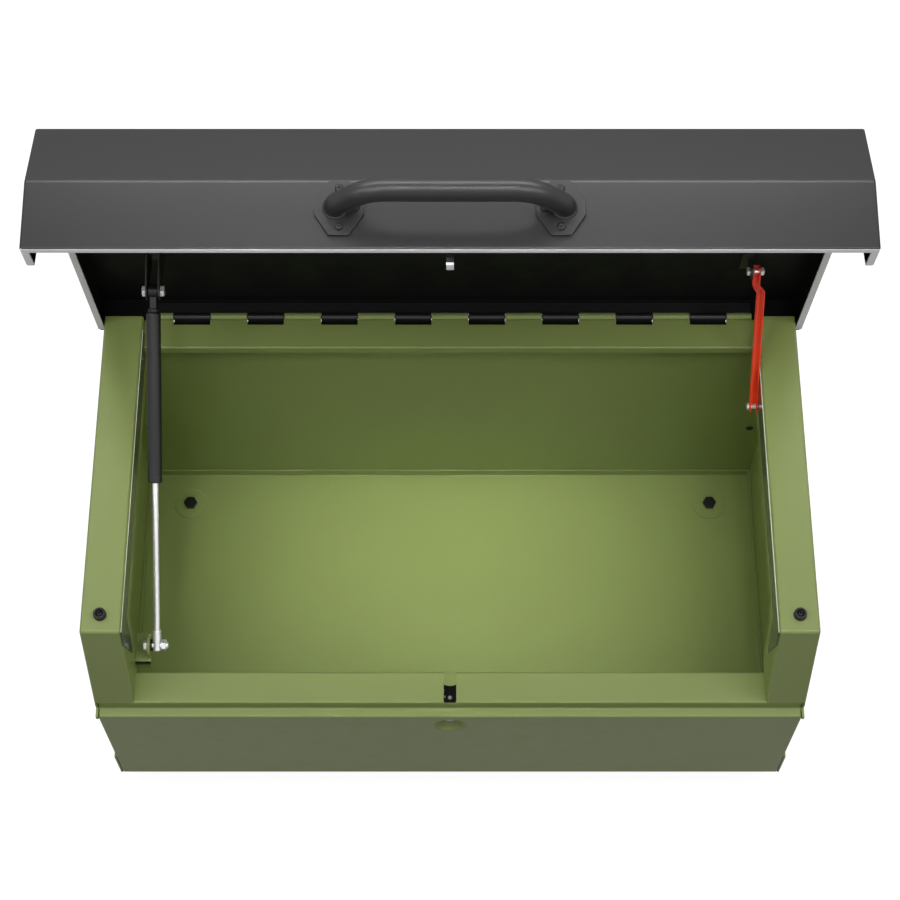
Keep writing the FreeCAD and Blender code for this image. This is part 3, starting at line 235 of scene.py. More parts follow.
class NodeSheet:
    """Short calls for laying out one material's nodes."""

    MIDDLE = (0.3, 0.7)

    def __init__(self, name: str) -> None:
        """Start an empty material with a surface shader.

        Args:
            name: Name of the material.
        """
        self.material = bpy.data.materials.new(name)
        self.material.use_nodes = True
        self.tree = self.material.node_tree
        self.tree.nodes.clear()
        self.output = self.node("OutputMaterial")
        self.shader = self.node("BsdfPrincipled")
        self.join(self.shader.outputs[0], self.output.inputs[0])
        self.coordinates = self.node("TexCoord").outputs["Object"]

    def node(self, kind: str, **values: object) -> bpy.types.Node:
        """A new node with some of its inputs set.

        Args:
            kind: Its type, without the prefix that all shader nodes share.
            values: Value of each input, named with underscores for spaces.

        Returns:
            The node.
        """
        node = self.tree.nodes.new("ShaderNode" + kind)
        for name, value in values.items():
            node.inputs[name.replace("_", " ")].default_value = value
        return node

    def join(self, source: Socket, target: Socket) -> None:
        """Link two sockets."""
        self.tree.links.new(source, target)

    def noise(self, scale: float, detail: float = 2.0, stretch: Point = (1, 1, 1)) -> Socket:
        """Noise in object space.

        Args:
            scale: Features per metre.
            detail: Octaves of finer noise.
            stretch: Scale along each axis, for grain that runs one way.

        Returns:
            The noise value, about 0.5 on average.
        """
        mapping = self.node("Mapping", Scale=stretch)
        self.join(self.coordinates, mapping.inputs["Vector"])
        node = self.node("TexNoise", Scale=scale, Detail=detail)
        self.join(mapping.outputs[0], node.inputs["Vector"])
        return node.outputs[0]

    def spread(self, source: Socket, low: float, high: float) -> Socket:
        """Map the middle of a noise value onto a range.

        Args:
            source: Value to map.
            low: Result at the low end of that middle.
            high: Result at its high end.

        Returns:
            The mapped value.
        """
        start, end = self.MIDDLE
        node = self.node("MapRange", From_Min=start, From_Max=end, To_Min=low, To_Max=high)
        self.join(source, node.inputs["Value"])
        return node.outputs[0]

    def clouded(self, source: Socket, first: Point, second: Point) -> None:
        """Colour the surface by a noise value.

        Args:
            source: The noise.
            first: Colour where it is low.
            second: Colour where it is high.
        """
        node = self.node("Mix")
        node.data_type = "RGBA"
        self.join(self.spread(source, 0.0, 1.0), node.inputs["Factor"])
        node.inputs[6].default_value = (*first, 1)
        node.inputs[7].default_value = (*second, 1)
        self.join(node.outputs[2], self.shader.inputs["Base Color"])

    def gloss(self, source: Socket, smooth: float, rough: float) -> None:
        """Vary the roughness between two values by a noise value."""
        self.join(self.spread(source, smooth, rough), self.shader.inputs["Roughness"])

    def relief(self, source: Socket, depth: float, strength: float) -> None:
        """Raise the surface by a noise value.

        Args:
            source: Height, from 0 to 1.
            depth: Height in metres where the value is 1.
            strength: Share of the effect that shows.
        """
        node = self.node("Bump", Distance=depth, Strength=strength)
        self.join(source, node.inputs["Height"])
        self.join(node.outputs[0], self.shader.inputs["Normal"])


def _scaled(colour: Point, factor: float) -> Point:
    """A colour made lighter or darker."""
    return tuple(c * factor for c in colour)


@dataclass(frozen=True)
class PowderCoat:
    """Baked powder coat: a broad drift of tone, fine orange peel and a slightly uneven gloss."""

    name: str
    colour: Point
    drift: float = 0.06
    smooth: float = 0.36
    rough: float = 0.46
    peel_scale: float = 700.0
    peel_depth: float = 0.00006
    peel_strength: float = 0.25
    specular: float = 0.5
    drift_scale: float = 5.0
    gloss_scale: float = 38.0

    def material(self) -> bpy.types.Material:
        """Build the material.

        Returns:
            The new material.
        """
        sheet = NodeSheet(self.name)
        sheet.clouded(sheet.noise(self.drift_scale, 3.0), _scaled(self.colour, 1 - self.drift),
                      _scaled(self.colour, 1 + self.drift))
        sheet.gloss(sheet.noise(self.gloss_scale, 4.0), self.smooth, self.rough)
        sheet.relief(sheet.noise(self.peel_scale, 1.5), self.peel_depth, self.peel_strength)
        sheet.shader.inputs["Specular IOR Level"].default_value = self.specular
        return sheet.material


@dataclass(frozen=True)
class BrightMetal:
    """Zinc plate or chrome, with a fine brushed grain under a thin pale bloom."""

    name: str
    colour: Point
    smooth: float
    rough: float
    grain: Point = (1.0, 1.0, 1.0)
    grain_scale: float = 500.0
    grain_depth: float = 0.00002
    # Only part of the surface is metal, so the pale colour also shows as diffuse white: a painted reflection
    # of bright surroundings.
    metal: float = 0.65
    bloom_scale: float = 140.0
    bloom: float = 0.9

    def material(self) -> bpy.types.Material:
        """Build the material.

        Returns:
            The new material.
        """
        sheet = NodeSheet(self.name)
        # The share that isn't metal shows the near-white colour diffusely: a painted reflection.
        sheet.shader.inputs["Metallic"].default_value = self.metal
        sheet.clouded(sheet.noise(self.bloom_scale, 4.0), _scaled(self.colour, self.bloom), self.colour)
        grain = sheet.noise(self.grain_scale, 2.0, self.grain)
        sheet.gloss(grain, self.smooth, self.rough)
        sheet.relief(grain, self.grain_depth, 0.2)
        return sheet.material


@dataclass(frozen=True)
class MouldedRubber:
    """Matt moulded rubber with a fine pitted skin."""

    name: str
    colour: Point
    smooth: float = 0.55
    rough: float = 0.75
    bloom_scale: float = 90.0
    bloom: float = 0.7
    pit_scale: float = 1500.0
    pit_depth: float = 0.00008

    def material(self) -> bpy.types.Material:
        """Build the material.

        Returns:
            The new material.
        """
        sheet = NodeSheet(self.name)
        sheet.clouded(sheet.noise(self.bloom_scale, 5.0), _scaled(self.colour, self.bloom), self.colour)
        pits = sheet.noise(self.pit_scale, 2.0)
        sheet.gloss(pits, self.smooth, self.rough)
        sheet.relief(pits, self.pit_depth, 0.35)
        return sheet.material


class Finish(Enum):
    """The finishes used on the box."""

    GREEN = PowderCoat("olive powder coat", (0.270, 0.340, 0.100), 0.03, 0.32, 0.38)
    BLACK = PowderCoat("black powder coat", (0.010, 0.010, 0.0102), 0.04, 0.365, 0.38, specular=0.4)
    # Darker, duller copy of the black paint: painted shade for the lid's inside and the lock case.
    SHADED_BLACK = PowderCoat("black paint darkened as painted shade", (0.004, 0.004, 0.004), 0.1, 0.5, 0.6, specular=0.13)
    # Near-white on the black lid's flange and the catch's tip: a painted reflection.
    RIM_REFLECTION = PowderCoat("rim painted pale as a reflection", (0.93, 0.93, 0.94), 0.06, 0.3, 0.4, 1500.0, 0.00003, 0.2)
    DARK_STEEL = PowderCoat("blackened steel", (0.007, 0.007, 0.0078), 0.2, 0.30, 0.42, 1300.0, 0.00004,
                            0.3, 0.3)
    # Part-diffuse near-white zinc and chrome: real metals, with a painted reflection.
    ZINC = BrightMetal("bright zinc", (0.97, 0.97, 0.98), 0.28, 0.40)
    CHROME = BrightMetal("hard chrome", (0.98, 0.98, 0.99), 0.30, 0.34, (1.0, 1.0, 0.08), 900.0, 0.000001)
    RUBBER = MouldedRubber("black rubber", (0.012, 0.012, 0.012))
    TRIM = PowderCoat("gloss black edge strip", (0.045, 0.048, 0.042), 0.05, 0.14, 0.22, 900.0, 0.00001, 0.1)
    # Pale top face of the edge strip: a painted highlight.
    EDGE_HIGHLIGHT = PowderCoat("edge strip top painted as a highlight", (0.95, 0.97, 0.78), 0.03, 0.2, 0.3, 900.0, 0.00001, 0.1)
    RED = PowderCoat("red gloss paint", (0.99, 0.06, 0.01), 0.02, 0.18, 0.26, 900.0, 0.00004, 0.2, 0.4)
    # Near-white and mostly diffuse: a steel ball with a painted highlight.
    BALL = BrightMetal("steel ball painted white as a highlight", (0.97, 0.97, 0.97), 0.4, 0.5, metal=0.3)


class Stock(Enum):
    """A body, a finish and a material slot that go together."""

    BOX_GREEN = (Carrier.BOX, Finish.GREEN, Slot.GREEN)
    BOX_RUBBER = (Carrier.BOX, Finish.RUBBER, Slot.RUBBER)
    BOX_TRIM = (Carrier.BOX, Finish.TRIM, Slot.RUBBER)
    BOX_STEEL = (Carrier.BOX, Finish.DARK_STEEL, Slot.DARK_STEEL)
    BOX_ZINC = (Carrier.BOX, Finish.ZINC, Slot.ZINC)
    # Zinc washer given the blackened finish: painted shade in the dark corner by the left arm.
    BOX_SHADED_WASHER = (Carrier.BOX, Finish.DARK_STEEL, Slot.ZINC)
    BOX_CASE = (Carrier.BOX, Finish.SHADED_BLACK, Slot.DARK_STEEL)
    BOX_BALL = (Carrier.BOX, Finish.BALL, Slot.CHROME)
    LID_BLACK = (Carrier.LID, Finish.BLACK, Slot.BLACK)
    LID_STEEL = (Carrier.LID, Finish.DARK_STEEL, Slot.DARK_STEEL)
    LID_ZINC = (Carrier.LID, Finish.ZINC, Slot.ZINC)
    BARREL_ZINC = (Carrier.BARREL, Finish.ZINC, Slot.ZINC)
    BOLT_ZINC = (Carrier.BOLT, Finish.ZINC, Slot.ZINC)
    ROD_ZINC = (Carrier.STRUT_ROD, Finish.ZINC, Slot.ZINC)
    ROD_CHROME = (Carrier.STRUT_ROD, Finish.CHROME, Slot.CHROME)
    TUBE_BLACK = (Carrier.STRUT_TUBE, Finish.BLACK, Slot.DARK_STEEL)
    TUBE_STEEL = (Carrier.STRUT_TUBE, Finish.DARK_STEEL, Slot.ZINC)
    STAY_RED = (Carrier.STAY, Finish.RED, Slot.RED)


class Paintshop:
    """Makes each finish once and hands it out."""

    def __init__(self) -> None:
        """Start with no material made."""
        self._made: dict[Finish, bpy.types.Material] = {}

    def get(self, finish: Finish) -> bpy.types.Material:
        """The material of a finish.

        Args:
            finish: Which finish.

        Returns:
            Its material, which every piece with this finish shares.
        """
        if finish not in self._made:
            self._made[finish] = finish.value.material()
        return self._made[finish]


# ---------------------------------------------------------------- mesh tools


def prism(outline: Sequence[Flat], axis: Axis, low: float, high: float) -> Mesh:
    """A closed outline pushed along an axis.

    Args:
        outline: Corners on the other two axes, in X, Y, Z order.
        axis: Direction of the push.
        low: Where it starts.
        high: Where it ends.

    Returns:
        A closed mesh.
    """
    mesh = bmesh.new()
    rings = []
    for level in (low, high):
        spots = [{Axis.X: (level, a, b), Axis.Y: (a, level, b), Axis.Z: (a, b, level)}[axis]
                 for a, b in outline]
        rings.append([mesh.verts.new(spot) for spot in spots])
    count = len(outline)
    mesh.faces.new(rings[0])
    mesh.faces.new(list(reversed(rings[1])))
    for k in range(count):
        following = (k + 1) % count
        mesh.faces.new((rings[0][following], rings[0][k], rings[1][k], rings[1][following]))
    bmesh.ops.recalc_face_normals(mesh, faces=mesh.faces)
    return mesh


def block(low: Point, high: Point) -> Mesh:
    """A box between two corners."""
    outline = [(low[0], low[1]), (high[0], low[1]), (high[0], high[1]), (low[0], high[1])]
    return prism(outline, Axis.Z, low[2], high[2])


def arc(middle: Flat, radius: float, angles: Iterable[float]) -> list[Flat]:
    """Points on a circle.

    Args:
        middle: Centre of the circle.
        radius: Its radius.
        angles: Where the points lie, in degrees.

    Returns:
        The points, in the order of the angles.
    """
    turns = [math.radians(angle) for angle in angles]
    return [(middle[0] + radius * math.cos(a), middle[1] + radius * math.sin(a)) for a in turns]


def _close_rows(mesh: Mesh, rows: list[list[bmesh.types.BMVert]], ring: bool, ends: bool) -> Mesh:
    """Fill the bands between rows of points.

    Args:
        mesh: Mesh that holds the points.
        rows: Rows of equally many points, or of a single one.
        ring: Whether the last row joins the first.
        ends: Whether the first and last rows are filled.

    Returns:
        The same mesh with its faces, turned outwards.
    """
    steps = max(len(row) for row in rows)
    for first, second in zip(rows, rows[1:] + ([rows[0]] if ring else [])):
        for k in range(steps):
            following = (k + 1) % steps
            corners = dict.fromkeys((first[k % len(first)], first[following % len(first)],
                                     second[following % len(second)], second[k % len(second)]))
            if len(corners) > 2:
                mesh.faces.new(list(corners))
    if ends:
        mesh.faces.new(rows[0])
        mesh.faces.new(rows[-1])
    bmesh.ops.recalc_face_normals(mesh, faces=mesh.faces)
    return mesh


def turned(profile: Sequence[Flat], axis: Axis, centre: Point = (0, 0, 0), closed: bool = False,
           steps: int = 48) -> Mesh:
    """A turned shape.

    Args:
        profile: Radius and distance along the axis, end to end. A radius of 0 closes an end.
        axis: Axis that it is turned about.
        centre: Point on the axis that distances start from.
        closed: Whether the profile is a ring, as for a washer.
        steps: Facets round the axis.

    Returns:
        A mesh.
    """
    mesh = bmesh.new()
    rows = []
    for radius, along in profile:
        angles = [2 * math.pi * k / steps for k in range(steps)] if radius else [0.0]
        rows.append([mesh.verts.new(axis.turn @ Vector((radius * math.cos(a), radius * math.sin(a), along))
                                    + Vector(centre)) for a in angles])
    return _close_rows(mesh, rows, closed, False)


def rod(radius: float, axis: Axis, centre: Point, low: float, high: float, steps: int = 48) -> Mesh:
    """A plain round bar, which is mostly used to cut a hole.

    Args:
        radius: Its radius.
        axis: Axis that it lies along.
        centre: Point on the axis that distances start from.
        low: Where it starts.
        high: Where it ends.
        steps: Facets round the axis.

    Returns:
        A closed mesh.
    """
    return turned([(0, low), (radius, low), (radius, high), (0, high)], axis, centre, steps=steps)


def skin(points: Sequence[Point], faces: Iterable[Sequence[int]], middle: Point | None = None) -> Mesh:
    """Flat faces that share their corners: a folded sheet before it is given its thickness.

    Args:
        points: The corners.
        faces: Numbers of each face's corners.
        middle: Point inside the shape, which every face is then turned away from.

    Returns:
        An open mesh.
    """
    mesh = bmesh.new()
    corners = [mesh.verts.new(point) for point in points]
    for face in faces:
        mesh.faces.new([corners[k] for k in face])
    bmesh.ops.recalc_face_normals(mesh, faces=mesh.faces)
    for face in mesh.faces if middle else ():
        face.normal_update()
        if face.normal.dot(face.calc_center_median() - Vector(middle)) < 0:
            face.normal_flip()
    return mesh


def strip(outline: Sequence[Flat], half: float, middle: Point) -> Mesh:
    """An open outline on the YZ plane pushed both ways along X, as one folded sheet.

    Args:
        outline: Y and Z of each bend.
        half: How far it goes to each side.
        middle: Point on the inner side of the folds.

    Returns:
        An open mesh.
    """
    count = len(outline)
    points = [(x, y, z) for x in (-half, half) for y, z in outline]
    return skin(points, [(k, k + 1, count + k + 1, count + k) for k in range(count - 1)], middle)


def hexagon(across: float, axis: Axis, centre: Point, low: float, high: float, chamfer: float) -> Mesh:
    """A hexagonal nut or bolt head with its outer corners turned off.

    Args:
        across: Width across the flats.
        axis: Axis of the bolt.
        centre: Point on the axis.
        low: Start along the axis.
        high: End along the axis.
        chamfer: Height of the turned corners; negative puts them at the low end.

    Returns:
        A closed mesh.
    """
    steps = 48
    angles = [2 * math.pi * k / steps for k in range(steps)]
    flats = [across / 2 / math.cos(angle % (math.pi / 3) - math.pi / 6) for angle in angles]
    crown = across / 2 * 0.96
    levels = [(low, across), (high - chamfer, across), (high, crown)]
    if chamfer < 0:
        levels = [(low, crown), (low - chamfer, across), (high, across)]
    mesh = bmesh.new()
    rows = []
    for level, limit in levels:
        radii = [min(radius, limit) for radius in flats]
        rows.append([mesh.verts.new(axis.turn @ Vector((radius * math.cos(a), radius * math.sin(a), level))
                                    + Vector(centre)) for a, radius in zip(angles, radii)])
    return _close_rows(mesh, rows, False, True)


def swept(path: Sequence[Vector], radius: float, steps: int = 32) -> Mesh:
    """A round bar along a path that lies in a level plane.

    Args:
        path: Points of its centre line.
        radius: Radius of the bar.
        steps: Facets round it.

    Returns:
        A closed mesh.
    """
    mesh = bmesh.new()
    up = Vector((0, 0, 1))
    rows = []
    for k, spot in enumerate(path):
        along = (path[min(k + 1, len(path) - 1)] - path[max(k - 1, 0)]).normalized()
        side = along.cross(up).normalized()
        rows.append([mesh.verts.new(spot + radius * (math.cos(a) * side + math.sin(a) * up))
                     for a in (2 * math.pi * j / steps for j in range(steps))])
    return _close_rows(mesh, rows, False, True)


def together(*meshes: Mesh) -> Mesh:
    """Several meshes as one.

    Args:
        meshes: The meshes, which are used up.

    Returns:
        A new mesh that holds them all.
    """
    whole = bmesh.new()
    for mesh in meshes:
        holder = bpy.data.meshes.new("part")
        mesh.to_mesh(holder)
        whole.from_mesh(holder)
        mesh.free()
        bpy.data.meshes.remove(holder)
    return whole


def mirrored(mesh: Mesh) -> Mesh:
    """A copy of a shape on the other side of the box.

    Args:
        mesh: The shape, which stays as it is.

    Returns:
        The new mesh.
    """
    other = mesh.copy()
    bmesh.ops.scale(other, vec=(-1, 1, 1), verts=other.verts)
    bmesh.ops.reverse_faces(other, faces=other.faces)
    return other


HANDS = (("left", mirrored), ("right", Mesh.copy))


def in_scene(name: str, data: bpy.types.ID) -> bpy.types.Object:
    """A new object in the scene that holds some data.

    Args:
        name: Name of the object.
        data: Its mesh, light or camera.

    Returns:
        The object.
    """
    item = bpy.data.objects.new(name, data)
    bpy.context.scene.collection.objects.link(item)
    return item


@dataclass
class Work:
    """What the workshop does to a mesh to make a piece of it. Lengths are in millimetres.

    Attributes:
        fold: Radius of folds made before the sheet has its thickness; 0 for none.
        sheet: Thickness that a skin is given, behind its faces; 0 where the mesh is already solid.
        edge: Radius of the finished edges; 0 leaves them sharp.
        edge_steps: Facets round a finished edge.
        drills: Meshes that are cut out.
        more_finishes: Finishes of the faces whose material number isn't 0, in order.
        inner_shift: What is added to the material number on the inner side of a sheet.
    """

    fold: float = 0.0
    sheet: float = 0.0
    edge: float = 0.4
    edge_steps: int = 2
    drills: list[Mesh] = field(default_factory=list)
    more_finishes: tuple[Finish, ...] = ()
    inner_shift: int = 0


class Workshop:
    """Turns meshes into finished pieces that ride on the frame."""

    FOLD_STEPS = 5
    FOLD_ANGLE = 8
    EDGE_ANGLE = 35

    def __init__(self, paint: Paintshop) -> None:
        """Keep the paintshop at hand.

        Args:
            paint: Where finishes come from.
        """
        self.paint = paint
        self.count = 0

    def _drawn(self, name: str, mesh: Mesh, place: Matrix) -> bpy.types.Object:
        """An object in the scene, with the drawing moved to its place.

        Args:
            name: Name of the object.
            mesh: The drawing, which is used up.
            place: Matrix from the drawing frame to the stored frame.

        Returns:
            The object.
        """
        mesh.transform(place)
        data = bpy.data.meshes.new(name)
        mesh.to_mesh(data)
        mesh.free()
        return in_scene(name, data)

    def _bevel(self, piece: bpy.types.Object, radius: float, steps: int, angle: float) -> None:
        """Round a piece's edges.

        Args:
            piece: The piece.
            radius: Radius in millimetres.
            steps: Facets round an edge.
            angle: Least bend of an edge that is rounded, in degrees.
        """
        bevel = piece.modifiers.new("round", "BEVEL")
        bevel.width = radius * MM
        bevel.segments = steps
        bevel.limit_method = "ANGLE"
        bevel.angle_limit = math.radians(angle)
        bevel.miter_outer = "MITER_ARC"
        bevel.harden_normals = False
        bevel.use_clamp_overlap = True

    def _settle(self, piece: bpy.types.Object) -> None:
        """Apply every modifier and keep the result as the piece's own mesh.

        Args:
            piece: The piece.
        """
        graph = bpy.context.evaluated_depsgraph_get()
        result = bpy.data.meshes.new_from_object(piece.evaluated_get(graph), preserve_all_data_layers=True,
                                                 depsgraph=graph)
        old = piece.data
        piece.modifiers.clear()
        piece.data = result
        result.name = piece.name
        bpy.data.meshes.remove(old)

    def _shape(self, piece: bpy.types.Object, work: Work, cutters: Sequence[bpy.types.Object]) -> None:
        """Fold a piece, give it its thickness, drill it, round its edges and smooth its shading.

        Args:
            piece: The piece, with its plain mesh.
            work: What is done to it.
            cutters: What is cut out of it; they are used up.
        """
        if work.fold:
            self._bevel(piece, work.fold, self.FOLD_STEPS, self.FOLD_ANGLE)
        if work.sheet:
            wall = piece.modifiers.new("sheet", "SOLIDIFY")
            wall.thickness = work.sheet * MM
            wall.offset = -1.0
            wall.use_even_offset = True
            wall.use_quality_normals = True
            wall.material_offset = work.inner_shift
        for cutter in cutters:
            hole = piece.modifiers.new("hole", "BOOLEAN")
            hole.operation = "DIFFERENCE"
            hole.solver = "EXACT"
            hole.object = cutter
        if work.fold or work.sheet or cutters:
            self._settle(piece)
        for cutter in cutters:
            bpy.data.objects.remove(cutter)
        if work.edge:
            self._bevel(piece, work.edge, work.edge_steps, self.EDGE_ANGLE)
        for polygon in piece.data.polygons:
            polygon.use_smooth = True
        normals = piece.modifiers.new("normals", "WEIGHTED_NORMAL")
        normals.mode = "FACE_AREA"
        normals.weight = 90
        self._settle(piece)

    def make(self, name: str, mesh: Mesh, stock: Stock, *nodes: str, **details: object) -> None:
        """Make one piece.

        Args:
            name: Name of the piece.
            mesh: Its shape in the drawing frame.
            stock: Its body, finish and slot.
            nodes: CAD nodes that it takes the place of.
            details: Fields of its Work.
        """
        carrier, finish, slot = stock.value
        work = Work(**details)
        piece = self._drawn(name, mesh, carrier.place)
        for coat in (finish, *work.more_finishes):
            piece.data.materials.append(self.paint.get(coat))
        cutters = [self._drawn(name + "-drill", drill, carrier.place) for drill in work.drills]
        self._shape(piece, work, cutters)
        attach(piece, carrier.value)
        if nodes:
            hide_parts(*nodes)
        self.count += 1
        LOG.info("%s rides on %s, %d faces", name, carrier.value, len(piece.data.polygons))


# ---------------------------------------------------------------- body


@dataclass
class BodyShell:
    """The folded body: front and sides, skirts, rail, arms, back and floor."""

    shop: Workshop
    sheet: float = 2.0
    frame_sheet: float = 3.0
    fold: float = 2.4
    frame_fold: float = 3.4
    tray_fold: float = 3.0
    cup_hole: float = 22.2
    tray_rim: float = 14.0
    wall_front: float = 479.0
    wall_hole_radius: float = 4.5
    side_drop: float = 29.0
    wrap_gap: float = 3.1
    wrap_shoulder: float = 32.5
    wall_drill: Flat = (470.0, 490.0)
    wall_gap: float = 3.5
    slot_half: float = 8.0
    slot_corner: float = 2.0

    def build(self) -> None:
        """Make every sheet of the body."""
        self.wrap()
        self.skirts()
        self.rail()
        self.arms()
        self.back()
        self.floor()

    def wrap(self) -> None:
        """Front and both sides as one sheet with folded corners and a slanted toe."""
        b, half = BOX, BOX.shell_half
        front, top = b.shelf_depth + self.wrap_gap, b.arm_top - self.side_drop
        side = [(b.toe_setback, b.foot), (0, b.toe_height), (0, b.band_low), (front, b.shelf),
                (front, b.rail_top), (b.shelf_depth + self.wrap_shoulder, top), (b.body_depth, top),
                (b.body_depth, b.foot)]
        n = len(side)
        mesh = skin([(x, y, z) for x in (-half, half) for y, z in side],
                    [(1, 2, n + 2, n + 1), (0, 1, n + 1, n), tuple(range(n)), tuple(range(n, 2 * n))],
                    (0, 250, 200))
        hole = rod(self.cup_hole, Axis.Y, (0, 0, b.lock_z), -20, 20)
        self.shop.make("front-and-sides", mesh, Stock.BOX_GREEN, "front_panel", "left_side_panel",
                       "right_side_panel", fold=self.fold, sheet=self.sheet, edge=0.3, drills=[hole])

    def skirts(self) -> None:
        """Proud strips along the foot of each side."""
        b = BOX
        side = [(b.toe_setback, b.foot), (0, b.toe_height), (0, b.skirt_top), (b.body_depth, b.skirt_top),
                (b.body_depth, b.foot)]
        mesh = prism(side, Axis.X, b.shell_half, b.body_half)
        for hand, placed in HANDS:
            self.shop.make("skirt-" + hand, placed(mesh), Stock.BOX_GREEN, hand + "_base_skirt", edge=1.2,
                           edge_steps=3)

    def slot(self) -> Mesh:
        """The cutter for the rail's slot, which is open at the back and has rounded front corners.

        Returns:
            A closed mesh.
        """
        front, back = BOX.shelf_depth + 0.7, BOX.rail_back + 6
        corner, reach = self.slot_corner, self.slot_half - self.slot_corner
        outline = [(-self.slot_half, back), (self.slot_half, back)]
        for x, start in ((reach, 0), (-reach, 270)):
            outline += arc((x, front + corner), corner, [start - step * 22.5 for step in range(5)])
        return prism(outline, Axis.Z, 250, 360)

    def rail(self) -> None:
        """Front rail with its band, step, riser, top and rear lip, slotted for the catch."""
        b = BOX
        line = [(0, b.band_low), (0, b.shelf), (b.shelf_depth, b.shelf), (b.shelf_depth, b.rail_top),
                (b.rail_back, b.rail_top), (b.rail_back, b.rail_top - 30)]
        self.shop.make("front-rail", strip(line, b.inner_half, (0, 30, 290)), Stock.BOX_GREEN, "front_rail",
                       fold=self.fold, sheet=self.sheet, edge=0.3, drills=[self.slot()])

    def arms(self) -> None:
        """Side frames: outer skin, sloping and level top, inner lip and the end plate."""
        b = BOX
        low_lip = b.arm_top - b.lip_drop
        lip = b.lip_drop * math.hypot(1, b.slope)
        lip_front = b.shelf_depth + (low_lip - b.rail_top) * b.slope + lip
        outer = [(0, b.band_low), (0, b.shelf), (b.shelf_depth, b.shelf), (b.shelf_depth, b.rail_top),
                 (b.shoulder_y, b.arm_top), (b.body_depth, b.arm_top), (b.body_depth, b.band_low)]
        inner = [(b.shelf_depth, b.rail_top), (b.shoulder_y, b.arm_top), (b.body_depth, b.arm_top),
                 (b.body_depth, low_lip), (lip_front, low_lip), (b.shelf_depth + lip, b.rail_top)]
        points = [(b.body_half, y, z) for y, z in outer] + [(b.arm_inner, y, z) for y, z in inner]
        n = len(outer)
        faces = [tuple(range(n)), tuple(range(n, n + 6)), (3, 4, n + 1, n), (4, 5, n + 2, n + 1)]
        mesh = skin(points, faces, (426, 250, 380))
        left, right, step = b.arm_inner + 1, b.body_half - 1, b.arm_top - 28
        end = prism([(left, low_lip), (b.inner_half, low_lip), (b.inner_half, step), (right, step),
                     (right, b.arm_top - 1.5), (left, b.arm_top - 1.5)], Axis.Y, b.body_depth - 3,
                    b.body_depth - 0.2)
        for hand, placed in HANDS:
            self.shop.make("arm-" + hand, placed(mesh), Stock.BOX_GREEN, hand + "_arm", fold=self.frame_fold,
                           sheet=self.frame_sheet, edge=0.5)
            self.shop.make("arm-end-" + hand, placed(end), Stock.BOX_GREEN)

    def back(self) -> None:
        """Back sheet with its two fixing holes."""
        b, (hole_x, hole_z) = BOX, BOX.wall_hole
        holes = [rod(self.wall_hole_radius, Axis.Y, (x, 0, hole_z), *self.wall_drill)
                 for x in (-hole_x, hole_x)]
        mesh = block((-b.inner_half, self.wall_front, b.foot),
                     (b.inner_half, self.wall_front + self.sheet, b.rear_rail_top - self.wall_gap))
        self.shop.make("back-panel", mesh, Stock.BOX_GREEN, "rear_panel", edge=0.25, drills=holes)

    def floor(self) -> None:
        """Floor tray with its low rims turned up on a small radius."""
        half, low = BOX.inner_half - 0.3, BOX.foot
        front, rear = BOX.toe_setback + 3.0, self.wall_front - 0.2
        top = low + self.sheet + self.tray_rim
        points = [(x, y, z) for z in (low, top)
                  for x, y in ((-half, front), (half, front), (half, rear), (-half, rear))]
        mesh = skin(points, [(0, 1, 2, 3), (3, 2, 6, 7), (0, 3, 7, 4), (1, 2, 6, 5)], (0, 260, 40))
        self.shop.make("floor-tray", mesh, Stock.BOX_GREEN, "floor_tray", fold=self.tray_fold,
                       sheet=self.sheet, edge=0.3)


# ---------------------------------------------------------------- fittings on the body


